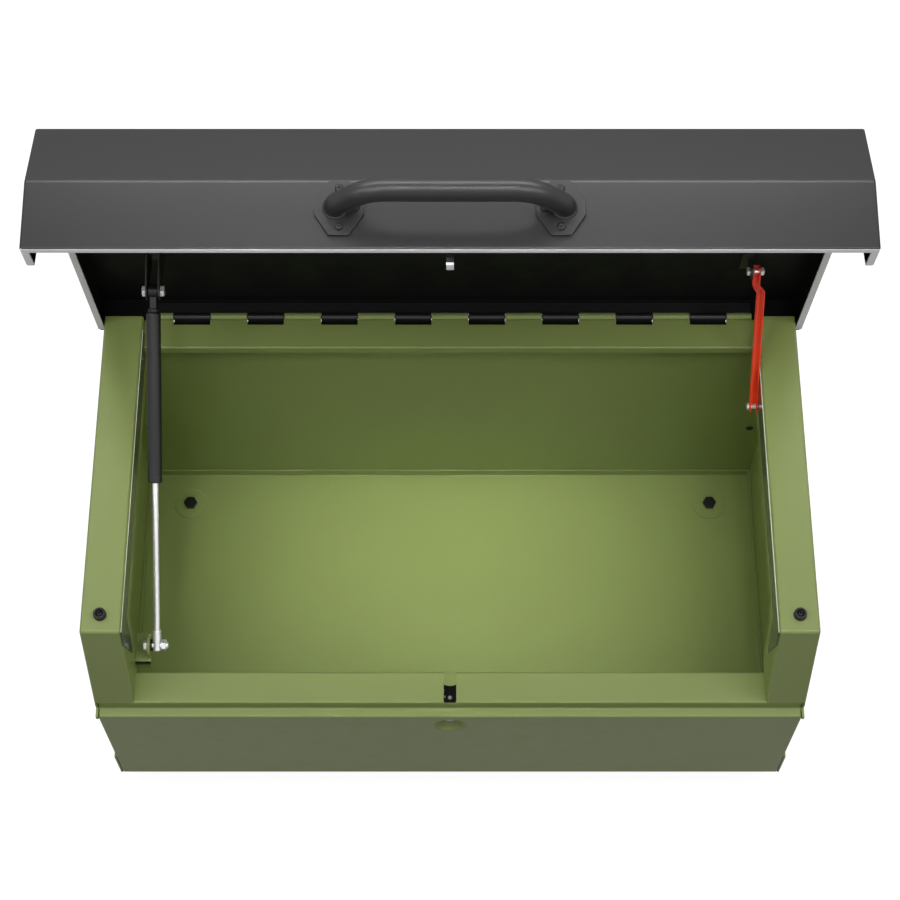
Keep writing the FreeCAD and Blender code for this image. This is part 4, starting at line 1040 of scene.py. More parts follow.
@dataclass
class BodyFittings:
    """Dark rings in the wall holes, trims, bump stops, floor fixings and feet."""

    shop: Workshop
    trim_depth: float = 35.0
    trim_fall: float = 25.0
    trim_foot: Flat = (65.0, 371.0)
    trim_thick: float = 1.2
    fixing_x: float = 384.0
    fixing_rows: Flat = (75.0, 429.0)
    bolt_across: float = 17.0
    bump_x: float = 427.0
    bump_y: float = 76.2

    def build(self) -> None:
        """Make every fitting."""
        self.shade_rings()
        self.trims()
        self.bumps()
        self.fixings()

    def shade_rings(self) -> None:
        """Black rubber rings in the two wall fixing holes: painted shade, so that the holes read dark."""
        hole_x, hole_z = BOX.wall_hole
        ring = [(1.5, 478.0), (4.7, 477.8), (5.2, 478.4), (5.2, 479.0), (4.4, 479.0), (4.4, 481.0),
                (5.2, 481.0), (5.2, 481.6), (4.7, 482.2), (1.5, 482.0)]
        rings = [turned(ring, Axis.Y, (x, 0, hole_z), True, 40) for x in (-hole_x, hole_x)]
        self.shop.make("hole-grommets", together(*rings), Stock.BOX_RUBBER, edge=0)

    def trims(self) -> None:
        """Strips along the inner lips, bent at the shoulder, with their top faces painted pale as a
        highlight.
        """
        b = BOX
        start, low, rear = b.arm_top - self.trim_fall, b.arm_top - self.trim_depth, b.body_depth - 20
        foot_y, foot_z = self.trim_foot
        outline = [(b.shoulder_y - self.trim_fall * b.slope, start), (b.shoulder_y, b.arm_top),
                   (rear, b.arm_top), (rear, b.rear_rail_top), (b.rear_rail_front, b.rear_rail_top),
                   (b.rear_rail_front, low), (foot_y + 24, low), (foot_y + 3, foot_z + 1),
                   (foot_y - 3, foot_z)]
        mesh = prism(outline, Axis.X, b.arm_inner - self.trim_thick, b.arm_inner)
        # Upward faces of the strip's top take the pale finish: a painted highlight along its edge.
        for face in mesh.faces:
            face.material_index = 1 if face.normal.z > 0.9 and face.calc_center_median().z > start else 0
        for hand, placed in HANDS:
            self.shop.make("edge-strip-" + hand, placed(mesh), Stock.BOX_TRIM, hand + "_edge_trim",
                           edge=0.45, edge_steps=3, more_finishes=(Finish.EDGE_HIGHLIGHT,))

    def bumps(self) -> None:
        """Rubber stops with a rounded rim and a screw with a round socket in the recess."""
        top, low = BOX.lid_top - 2.4, BOX.arm_top
        stop = [(2.7, low), (8.0, low), (8.0, low + 1.2), (7.6, low + 1.8), (7.6, top - 1.6),
                (7.2, top - 0.6), (6.3, top), (5.2, top), (4.7, top - 0.5), (4.6, top - 3.2),
                (2.7, top - 3.2)]
        screw = [(0, top - 2.6), (0.9, top - 2.6), (1.3, top - 0.9), (2.0, top - 0.8), (3.3, top - 1.3),
                 (4.1, top - 2.2), (4.1, top - 3.2), (2.4, top - 3.2), (2.4, top - 17), (0, top - 17.6)]
        spots = [(x, self.bump_y, 0) for x in (-self.bump_x, self.bump_x)]
        self.shop.make("bump-stops", together(*[turned(stop, Axis.Z, spot, True) for spot in spots]),
                       Stock.BOX_RUBBER, "bump_stops", edge=0)
        self.shop.make("bump-screws", together(*[turned(screw, Axis.Z, spot, steps=24) for spot in spots]),
                       Stock.BOX_STEEL, "bump_stop_screws", edge=0)

    def fixings(self) -> None:
        """Raised rings in the floor, hex bolts through them, their nuts, and rubber feet below."""
        pads, bolts, nuts, feet = [], [], [], []
        floor = BOX.foot + 2
        seat = floor + 1.5
        head = seat + 6.4
        pad = [(5.25, floor - 0.3), (24.5, floor - 0.3), (24.3, floor + 0.5), (23.4, seat), (5.25, seat)]
        foot = [(10.2, 0.6), (10.8, 0), (21.6, 0), (23.4, 0.8), (25, 3.2), (25, 12.6), (23.6, 14), (5.25, 14),
                (5.25, 7), (10.2, 7)]
        for spot in [(x, y, 0) for y in self.fixing_rows for x in (-self.fixing_x, self.fixing_x)]:
            pads.append(turned(pad, Axis.Z, spot, True, 64))
            bolts.append(hexagon(self.bolt_across, Axis.Z, spot, seat, head, 0.9))
            bolts.append(turned([(0, seat + 6.42), (2.2, seat + 6.42), (2.6, seat + 6.3)], Axis.Z, spot))
            bolts.append(turned([(5.0, seat), (5.0, 1.6), (4.2, 1.0), (0, 1.0)], Axis.Z, spot))
            nuts.append(hexagon(self.bolt_across, Axis.Z, spot, 1.0, 7.0, -0.9))
            feet.append(turned(foot, Axis.Z, spot, True, 64))
        for name, shapes, stock, node, edge in (
                ("floor-rings", pads, Stock.BOX_GREEN, "floor_pads", 0),
                ("floor-bolts", bolts, Stock.BOX_STEEL, "floor_bolts", 0.25),
                ("foot-nuts", nuts, Stock.BOX_STEEL, "foot_nuts", 0.25),
                ("rubber-feet", feet, Stock.BOX_RUBBER, "feet", 0)):
            self.shop.make(name, together(*shapes), stock, node, edge=edge)


# ---------------------------------------------------------------- hinge


@dataclass
class Hinge:
    """Rear rail, the two knuckled leaves and the pin."""

    shop: Workshop
    radius: float = 5.2
    pin: float = 2.5
    half: float = 396.0
    pitch: float = 48.4
    gap: float = 0.6
    strap: float = 12.1
    strap_wing: float = 1.4
    clearance: float = 0.8
    pin_chamfer: float = 0.4
    leaf: float = 1.5
    pairs: int = 4

    @property
    def strap_front(self) -> float:
        """Where the lid's straps start, in front of the pin."""
        return BOX.hinge_y - self.strap

    def spans(self, lid: bool) -> list[Flat]:
        """Left and right ends of one leaf's knuckles.

        Args:
            lid: Whether these are the lid's knuckles.

        Returns:
            One pair of X values for each knuckle.
        """
        last = 2 * self.pairs
        reach = (self.pitch - self.gap) / 2
        return [(-self.half if k == -last else self.pitch * k - reach,
                 self.half if k == last else self.pitch * k + reach)
                for k in range(-last, last + 1) if bool(k % 2) == lid]

    def barrel(self, low: float, high: float) -> Mesh:
        """One knuckle, bored for the pin, with broken ends.

        Args:
            low: Where it starts along X.
            high: Where it ends.

        Returns:
            A closed mesh.
        """
        r, hole = self.radius, self.pin + 0.05
        return turned([(hole, low), (r - 0.5, low), (r, low + 0.5), (r, high - 0.5), (r - 0.5, high),
                       (hole, high)], Axis.X, (0, BOX.hinge_y, BOX.hinge_z), True, 32)

    def notches(self) -> list[Mesh]:
        """Cutters for the gaps in the rail that the lid's straps pass through.

        Returns:
            One block for each of the lid's knuckles.
        """
        top = BOX.rear_rail_top
        return [block((low, self.strap_front - self.clearance, top - 9), (high, BOX.hinge_y, top + 5))
                for low, high in self.spans(True)]

    def straps(self) -> list[Mesh]:
        """Strips that wrap under the lid's knuckles and lie in the notches when the lid is open.

        Returns:
            One strip for each of the lid's knuckles.
        """
        y, z, front, wing = BOX.hinge_y, BOX.hinge_z, self.strap_front, self.strap_wing
        low_z = z - self.radius
        found = []
        for low, high in self.spans(True):
            strap = together(block((low, front, low_z), (high, y, low_z + self.leaf)),
                             block((low - wing, front, low_z), (high + wing, y - 6, low_z + self.leaf)))
            bmesh.ops.rotate(strap, cent=(0, y, z), verts=strap.verts,
                             matrix=Matrix.Rotation(math.radians(BOX.open_angle), 3, "X"))
            found.append(strap)
        return found

    def build(self) -> None:
        """Make the rail, both leaves and the pin."""
        self.rail()
        self.body_leaf()
        self.lid_leaf()
        half, r, cut = self.half, self.pin, self.pin_chamfer
        pin = turned([(0, -half), (r - cut, -half), (r, cut - half), (r, half - cut), (r - cut, half),
                      (0, half)], Axis.X, (0, BOX.hinge_y, BOX.hinge_z))
        self.shop.make("hinge-pin", pin, Stock.BOX_STEEL, "hinge_pin", edge=0)

    def rail(self) -> None:
        """Lipped rail along the top of the back, notched for the lid's straps."""
        b = BOX
        line = [(b.rear_rail_front, b.rear_rail_top - 13), (b.rear_rail_front, b.rear_rail_top),
                (b.rear_rail_back, b.rear_rail_top)]
        self.shop.make("hinge-rail", strip(line, b.arm_inner, (0, 480, 430)), Stock.BOX_GREEN, "hinge_rail",
                       fold=2.3, sheet=2.0, edge=0.3, drills=self.notches())

    def body_leaf(self) -> None:
        """Leaf under the rail with the body's knuckles."""
        back = BOX.rear_rail_back
        top = BOX.rear_rail_top - 2
        low_z = top - self.leaf
        step = self.strap_front - self.clearance
        shapes = [block((-self.half, back - 28, low_z), (self.half, step, top))]
        for low, high in self.spans(False):
            shapes.append(block((low, step - 1, low_z), (high, back, top)))
            shapes.append(self.barrel(low, high))
            shapes.append(block((low, back - 1, low_z), (high, BOX.hinge_y - 3.4, top)))
        self.shop.make("body-hinge-leaf", together(*shapes), Stock.BOX_GREEN, "body_hinge_leaf", edge=0.2)

    def lid_leaf(self) -> None:
        """Leaf inside the lid's rear wall with the lid's knuckles and straps."""
        inner = BOX.lid_rear - BOX.lid_sheet
        outer = inner - self.leaf
        low_z = BOX.hinge_z + self.radius + 1
        shapes = [block((-self.half, outer, low_z), (self.half, inner, low_z + 15))]
        for low, high in self.spans(True):
            shapes.append(self.barrel(low, high))
            shapes.append(block((low, outer, BOX.hinge_z + 2.4), (high, inner, low_z + 1)))
        self.shop.make("lid-hinge-leaf", together(*shapes, *self.straps()), Stock.LID_BLACK, "lid_hinge_leaf",
                       edge=0.2)


# ---------------------------------------------------------------- lid


@dataclass
class Lid:
    """The folded lid with its rim flange, and the catch that hangs from it."""

    shop: Workshop
    half: float = 461.6
    front: float = 1.0
    low: float = 309.6
    fold_z: float = 391.2
    chamfer_y: float = 37.8
    nose_y: float = 44.5
    rim_start: float = 78.6
    rim_z: float = 428.0
    flange: float = 9.0
    rear_low: float = 453.4
    ear_low: float = 441.0
    ear_width: float = 65.0

    def build(self) -> None:
        """Make the shell, its corner tabs and the catch."""
        self.shell()
        self.corners()
        self.catch()

    def shell(self) -> None:
        """Top, chamfer, front, both sides, the rear wall with deeper ends, and the flange round the rim."""
        b, f, rear = BOX, self.flange, BOX.lid_rear
        side = [(self.front, self.low), (self.front, self.fold_z), (self.chamfer_y, b.lid_top),
                (rear, b.lid_top), (rear, self.ear_low), (rear, self.rim_z + 9), (rear - 3, self.rim_z + 3),
                (rear - 9, self.rim_z), (self.rim_start, self.rim_z), (self.nose_y, self.low)]
        n = len(side)
        points = [(x, y, z) for x in (-self.half, self.half) for y, z in side]
        faces = [(k, k + 1, n + k + 1, n + k) for k in range(3)]
        faces += [tuple(range(n)), tuple(range(n, 2 * n))]
        ear = self.half - self.ear_width
        points += [(x, rear, z) for x, z in ((-ear, self.ear_low), (-ear, self.rear_low),
                                             (ear, self.rear_low), (ear, self.ear_low))]
        faces.append((3, 4, 2 * n, 2 * n + 1, 2 * n + 2, 2 * n + 3, n + 4, n + 3))
        plain = len(faces)
        inner = [(self.front + f, self.low), (self.nose_y, self.low), (self.rim_start, self.rim_z),
                 (rear - 9, self.rim_z)]
        for sign, base in ((-1, 0), (1, n)):
            start = len(points)
            points += [(sign * (self.half - f), y, z) for y, z in inner]
            corners = [base, base + n - 1, base + n - 2, base + n - 3]
            faces += [(corners[k], corners[k + 1], start + k + 1, start + k) for k in range(3)]
        faces.append((0, n, 2 * n + 8, 2 * n + 4))
        mesh = skin(points, faces, (0, 250, 452))
        mesh.faces.ensure_lookup_table()
        # The flange's faces take the near-white rim finish: a painted reflection on the black sheet.
        for face in mesh.faces[plain:]:
            face.material_index = 2
            if face.normal.z > 0.1 or (abs(face.normal.z) < 0.5 and face.normal.y < 0):
                face.normal_flip()
        # The inner side takes the darkened black, painted shade, on the top sheet and the flange alike.
        self.shop.make("lid-shell", mesh, Stock.LID_BLACK, "lid_shell", fold=2.6, sheet=b.lid_sheet, edge=0.3,
                       more_finishes=(Finish.SHADED_BLACK, Finish.RIM_REFLECTION, Finish.SHADED_BLACK), inner_shift=1)

    def corners(self) -> None:
        """Small tabs that carry the rim round the two rear corners."""
        outline = [(452.6, 433), (455, 430.6), (459.5, 430.6), (459.5, 442), (452.6, 442)]
        tab = prism(outline, Axis.Y, BOX.lid_rear - BOX.lid_sheet, BOX.lid_rear - 0.1)
        self.shop.make("lid-corners", together(mirrored(tab), tab), Stock.LID_BLACK, edge=0.3)

    def catch(self) -> None:
        """Tongue with a hole for the bolt; its lower end is painted pale as a reflection."""
        root, knee, tip = self.front + BOX.lid_sheet, 23.0, 40.0
        outline = [(root, 326), (knee, 326), (knee, 304), (knee + 2, 302), (tip - 2, 302), (tip, 304),
                   (tip, 339), (tip - 2, 341), (root, 341)]
        mesh = prism(outline, Axis.X, -4.3, 4.3)
        # Faces that look down when the lid is shut take the near-white rim finish: a painted reflection.
        for face in mesh.faces:
            face.normal_update()
            face.material_index = 1 if face.normal.z < -0.5 else 0
        hole = rod(5.2, Axis.X, (0, 31.5, 311.5), -20, 20, 32)
        self.shop.make("lid-catch", mesh, Stock.LID_BLACK, "lid_catch", edge=0.6, edge_steps=3, drills=[hole],
                       more_finishes=(Finish.RIM_REFLECTION,))


@dataclass
class Handle:
    """Bent tube handle on two eight-sided foot plates."""

    shop: Workshop
    foot: float = 123.5
    plate: float = 119.5
    height: float = 357.2
    stand: float = 45.0
    radius: float = 12.7
    knee: float = 88.0
    leg: float = 9.0
    foot_bend: float = 15.0
    top_bend: float = 44.0
    bend_steps: int = 10
    plate_front: float = -3.0
    plate_back: float = 1.0
    plate_half: Flat = (26.8, 32.4)
    plate_flat: Flat = (11.0, 8.0)

    def screw_spots(self) -> list[Flat]:
        """X and Z of the six screws."""
        return [(side * (self.plate + dx), self.height + dz) for side in (-1, 1)
                for dx, dz in ((-18, 0), (0, -22.5), (0, 22.5))]

    def path(self) -> list[Vector]:
        """Centre line of the tube: two short feet, two slanting legs and the straight grip.

        Returns:
            Its points, from left to right.
        """
        bends = ((Vector((self.foot, -self.leg)), self.foot_bend),
                 (Vector((self.knee, -self.stand)), self.top_bend))
        ends = (Vector((self.foot, self.plate_front)), bends[0][0], bends[1][0], Vector((0, -self.stand)))
        half = [ends[0]]
        for k, (corner, radius) in enumerate(bends):
            back = (ends[k] - corner).normalized()
            ahead = (ends[k + 2] - corner).normalized()
            turn = math.acos(max(-1.0, min(1.0, back.dot(ahead))))
            room = radius if k else 0.95 * (ends[k] - corner).length
            reach = min(radius / math.tan(turn / 2), room)
            centre = corner + (back + ahead).normalized() * (reach * math.tan(turn / 2) / math.sin(turn / 2))
            first = corner + back * reach - centre
            sweep = first.angle_signed(corner + ahead * reach - centre)
            half += [centre + Matrix.Rotation(-sweep * step / self.bend_steps, 2) @ first
                     for step in range(self.bend_steps + 1)]
        left = [Vector((-p.x, p.y, self.height)) for p in half]
        return left + [Vector((p.x, p.y, self.height)) for p in reversed(half)]

    def plates(self) -> Mesh:
        """Both foot plates, with their corners cut.

        Returns:
            One mesh that holds both.
        """
        (wide, high), (flat_x, flat_z) = self.plate_half, self.plate_flat
        corners = ((-flat_x, -high), (flat_x, -high), (wide, -flat_z), (wide, flat_z), (flat_x, high),
                   (-flat_x, high), (-wide, flat_z), (-wide, -flat_z))
        return together(*[prism([(x + dx, self.height + dz) for dx, dz in corners], Axis.Y, self.plate_front,
                                self.plate_back) for x in (-self.plate, self.plate)])

    def build(self) -> None:
        """Make the tube, its weld beads, the plates, the screws and their nuts."""
        r, y = self.radius, self.plate_front
        self.shop.make("handle-tube", swept(self.path(), r, 40), Stock.LID_BLACK, "handle_tube", edge=0)
        bead = [(r - 0.6, y - 2.2), (r + 0.7, y - 1.6), (r + 1.4, y - 0.7), (r + 1.6, y + 0.1),
                (r - 0.6, y + 0.1)]
        beads = [turned(bead, Axis.Y, (x, 0, self.height), True, 48) for x in (-self.foot, self.foot)]
        self.shop.make("handle-welds", together(*beads), Stock.LID_BLACK, edge=0)
        self.shop.make("handle-plates", self.plates(), Stock.LID_BLACK, "handle_plates", edge=0.7,
                       edge_steps=3)
        screw = [(0, y - 1.6), (1.5, y - 1.6), (1.7, y - 2.5), (3.2, y - 2.4), (4.5, y - 1.4), (4.9, y - 0.2),
                 (4.9, y), (3.0, y), (3.0, 8.6), (2.4, 9.0), (0, 9.0)]
        spots = [(x, 0, z) for x, z in self.screw_spots()]
        self.shop.make("handle-screws", together(*[turned(screw, Axis.Y, spot, steps=24) for spot in spots]),
                       Stock.LID_STEEL, "handle_screws", edge=0)
        nuts = [hexagon(10.0, Axis.Y, spot, 3.0, 8.0, 0.6) for spot in spots]
        self.shop.make("handle-nuts", together(*nuts), Stock.LID_STEEL, "handle_nuts", edge=0.2)


# ---------------------------------------------------------------- lock


@dataclass
class Lock:
    """Recessed key cup, black lock case with its ledge, key barrel, sliding bolt and the ejector ball."""

    shop: Workshop
    cup: float = 22.0
    crank: float = 9.9
    ball: float = 2.8

    def build(self) -> None:
        """Make the lock's seven pieces."""
        self.key_cup()
        self.case()
        self.barrel()
        self.bolt()

    @property
    def crank_reach(self) -> float:
        """How far the crank's pin stands to the left of the barrel's axis, and above it."""
        return self.crank * math.sin(math.radians(45))

    def key_cup(self) -> None:
        """Conical recess in the front face with a small rolled rim."""
        r = self.cup
        ring = [(9.1, 14.5), (9.1, 9.0), (10.6, 8.8), (11.6, 8.4), (20.2, 0.9), (20.8, 0.3), (21.6, 0.0),
                (r, 0.2), (r, 2.4), (r - 0.4, 14.5)]
        self.shop.make("key-cup", turned(ring, Axis.Y, (0, 0, BOX.lock_z), True, 64), Stock.BOX_GREEN,
                       "key_cup", edge=0)

    def case(self) -> None:
        """Cast lock body with the catch's slot and the bolt's chamber, and the scooped ledge behind it."""
        z = BOX.lock_z
        hollows = [block((-7.7, 15.2, 299), (7.7, 46, 330)),
                   block((-34, 28.2, z - 2.5), (20, 34.8, z + 17.4)),
                   block((-34, 28.2, z + 10), (-5.7, 34.8, 315.3)),
                   rod(9.05, Axis.Y, (0, 0, z), 10, 28.5),
                   rod(13.3, Axis.Y, (0, 0, z), 24.7, 28.5),
                   rod(2.85, Axis.Z, (0, 28, 0), 295.9, 310, 24)]
        # The case and its ledge take the darkened black: painted shade in the recess.
        self.shop.make("lock-case", block((-38, 14.5, z - 17), (24, 40, 321)), Stock.BOX_CASE, "lock_case",
                       edge=0.5, drills=hollows)
        scoop = rod(16, Axis.Z, (0, 59.9, 0), 280, 299.5, 64)
        self.shop.make("lock-ledge", block((-8.4, 40, 292), (8.4, 45.6, 299)), Stock.BOX_CASE, edge=0.3,
                       drills=[scoop])

    def barrel(self) -> None:
        """Barrel with its keyway, and its crank pin."""
        z, crank = BOX.lock_z, self.crank_reach
        core = turned([(0, 9.6), (7.9, 9.6), (8.4, 9.0), (9.0, 9.4), (9.0, 25.2), (13.0, 25.2), (13.0, 28.0),
                       (0, 28.0)], Axis.Y, (0, 0, z), steps=64)
        keyway = [block((-1.0, 5, z - 4.5), (1.0, 14, z + 4.5)), block((1.0, 5, z - 1.4), (2.2, 14, z + 1.0))]
        self.shop.make("key-barrel", core, Stock.BARREL_ZINC, "lock_barrel", edge=0, drills=keyway)
        pin = turned([(0, 26), (2.5, 26), (2.5, 34.2), (2.2, 34.5), (0, 34.5)], Axis.Y,
                     (-crank, 0, z + crank), steps=24)
        self.shop.make("barrel-crank", pin, Stock.BARREL_ZINC, edge=0)

    def bolt(self) -> None:
        """Sliding bolt with the crank's slot, and the ball above it."""
        z, crank, r = BOX.lock_z, self.crank_reach, self.ball
        outline = [(-32, z - 2), (3.95, z - 2), (3.95, z + 16.9), (-20, z + 16.9), (-20, 308), (-9, 308),
                   (-7.5, 309.5), (-7.5, 313.5), (-9, 315), (-32, 315)]
        slot = block((-crank - 2.95, 20, z + 4.05), (-crank + 2.95, 40, z + 12.85))
        self.shop.make("lock-bolt", prism(outline, Axis.Y, 28.5, 34.5), Stock.BOLT_ZINC, "lock_bolt",
                       drills=[slot])
        profile = [(0, -r), *arc((0, 0), r, range(-78, 90, 12)), (0, r)]
        # The ball's near-white finish is a painted highlight.
        self.shop.make("ejector-ball", turned(profile, Axis.Z, (0, 28, 298.8), steps=32), Stock.BOX_BALL,
                       "ejector_ball", edge=0)


# ---------------------------------------------------------------- gas strut


@dataclass
class GasStrut:
    """Gas strut with its brackets. Drawn upright from the lower pivot."""

    shop: Workshop
    mouth: float = 209.0
    far: float = 423.0
    head_y: float = 349.8
    head_z: float = 415.9
    across: float = 12.92
    ear_gap: float = 6.6
    ear_sheet: float = 2.4
    lean: float = 3.4

    def leaned(self, mesh: Mesh) -> Mesh:
        """Lean a strut mesh towards the middle, more the nearer it is to the upper pivot.

        Args:
            mesh: Part of the strut.

        Returns:
            The same mesh.
        """
        for vertex in mesh.verts:
            vertex.co.x += self.lean * vertex.co.z / BOX.strut_span
        return mesh

    def build(self) -> None:
        """Make the strut, then the brackets at both ends."""
        self.rod_side()
        self.tube_side()
        self.lower_bracket()
        self.lower_bolt()
        self.upper_bracket()

    def rod_side(self) -> None:
        """Polished rod, its end fitting with an eye, and the piston."""
        body = turned([(0, -7), (4.6, -7), (5.6, -6), (5.6, 13.6), (5.2, 14.2), (5.2, 15.2), (5.6, 15.8),
                       (5.6, 19.2), (4.8, 20), (4.02, 20), (4.02, 12), (0, 12)], Axis.Z, steps=40)
        eye = rod(4.05, Axis.X, (0, 0, 0), -20, 20, 32)
        self.shop.make("strut-rod-end", body, Stock.ROD_ZINC, "strut_rod_end", edge=0, drills=[eye])
        bar = self.leaned(rod(4, Axis.Z, (0, 0, 0), 12, 232, 32))
        self.shop.make("strut-rod", bar, Stock.ROD_CHROME, "strut_rod", edge=0)
        disc = turned([(0, 232), (7.3, 232), (7.6, 232.4), (7.6, 235), (7.0, 235.3), (7.0, 236.7), (7.6, 237),
                       (7.6, 239.6), (7.3, 240), (0, 240)], Axis.Z, steps=32)
        self.shop.make("strut-piston", self.leaned(disc), Stock.ROD_ZINC, "strut_piston", edge=0)

    def tube_side(self) -> None:
        """Cylinder with a rolled mouth and crimped groove, its gland, end plug and flat eye."""
        low, far, span = self.mouth, self.far, BOX.strut_span
        wall = turned([(7.8, low + 0.1), (8.3, low), (8.8, low + 0.4), (9.0, low + 1.4), (9.0, low + 6.2),
                       (8.6, low + 7.0), (8.6, low + 8.4), (9.0, low + 9.2), (9.0, far - 3), (8.4, far - 0.8),
                       (7.4, far), (0, far), (0, far - 6), (7.8, far - 6)], Axis.Z)
        self.shop.make("strut-tube", self.leaned(wall), Stock.TUBE_BLACK, "strut_tube", edge=0)
        gland = turned([(5.8, low + 0.3), (6.2, low - 0.1), (6.8, low + 0.5), (7.8, low + 0.6),
                        (7.8, low + 12), (5.8, low + 12)], Axis.Z, (0, 0, 0), True, 40)
        self.shop.make("strut-gland", self.leaned(gland), Stock.TUBE_BLACK, "strut_gland", edge=0)
        wide = self.ear_gap - 0.4
        boss = turned([(0, -wide), (7.6, -wide), (8.4, 0.8 - wide), (8.4, wide - 0.8), (7.6, wide),
                       (0, wide)], Axis.X, (0, 0, span), steps=40)
        neck = block((-4, -4, far), (4, 4, span))
        collar = turned([(0, far - 0.2), (6.75, far - 0.2), (6.75, far + 4.2), (6.0, far + 5), (0, far + 5)],
                        Axis.Z, steps=40)
        self.shop.make("strut-eye", self.leaned(together(boss, neck, collar)), Stock.TUBE_STEEL,
                       "strut_tube_eye", edge=0.3)

    def lower_bracket(self) -> None:
        """Green bracket on the left arm's lip."""
        y, z, x, wall = BOX.strut_foot_y, BOX.strut_foot_z, BOX.strut_x, -BOX.arm_inner
        near, top = x - 8, z - 13
        ear = [(y - 13, z - 17), (y + 13, z - 17), *arc((y, z), 13, range(0, 181, 12))]
        hole = rod(4.15, Axis.X, (x, y, z), -40, 40, 32)
        self.shop.make("strut-foot-ear", prism(ear, Axis.X, x - 12, near), Stock.BOX_GREEN,
                       "strut_lower_bracket", edge=0.6, drills=[hole])
        base = block((wall, y - 20.8, z - 17), (near, y + 21.2, top))
        lip = block((wall, y - 20.8, BOX.rail_top), (near, y - 16.8, top))
        self.shop.make("strut-foot-base", together(base, lip), Stock.BOX_GREEN, edge=0.6)

    def lower_bolt(self) -> None:
        """Bolt, nut and washer at the strut's foot."""
        y, z, x = BOX.strut_foot_y, BOX.strut_foot_z, BOX.strut_x
        spot, out, near = (0, y, z), x - 12, x - 8
        bolt = [hexagon(self.across, Axis.X, spot, out - 5, out, -0.8),
                turned([(4, out), (4, x + 13.8), (3.3, x + 14.4), (0, x + 14.4)], Axis.X, spot, steps=32)]
        self.shop.make("strut-foot-bolt", together(*bolt), Stock.BOX_ZINC, "strut_lower_bolt", edge=0.25)
        self.shop.make("strut-foot-nut", hexagon(self.across, Axis.X, spot, x + 5.9, x + 11.9, 0.8),
                       Stock.BOX_ZINC, "strut_lower_nut", edge=0.25)
        # The washer takes the blackened finish: painted shade in that dark corner.
        washer = turned([(4, near), (7.3, near), (7.5, near + 0.3), (7.5, x - 6), (7.2, x - 5.8),
                         (4, x - 5.8)], Axis.X, spot, True, 40)
        self.shop.make("strut-foot-washer", washer, Stock.BOX_SHADED_WASHER, "strut_spacer", edge=0)

    def upper_bracket(self) -> None:
        """Deep black U bracket under the lid, with bolt ends outside its ears."""
        y, z, x, under = self.head_y, self.head_z, BOX.strut_x + self.lean, BOX.under_lid
        low, high = self.ear_gap, self.ear_gap + self.ear_sheet
        ear = [(y - 25, under), (y + 25, under), (y + 11, z), *arc((y, z), 11, range(-12, -180, -12)),
               (y - 11, z)]
        shapes = [prism(ear, Axis.X, x - high, x - low), prism(ear, Axis.X, x + low, x + high),
                  block((x - high + 0.2, y - 25, under - 3), (x + high - 0.2, y + 25, under))]
        self.shop.make("strut-head-bracket", together(*shapes), Stock.LID_BLACK, "strut_upper_bracket")
        ends = [hexagon(self.across, Axis.X, (0, y, z), x - high - 4.5, x - high, -0.8),
                hexagon(self.across, Axis.X, (0, y, z), x + high, x + high + 5, 0.8)]
        self.shop.make("strut-head-bolt", together(*ends), Stock.LID_ZINC, "strut_upper_bolt_ends", edge=0.25)


# ---------------------------------------------------------------- safety stay


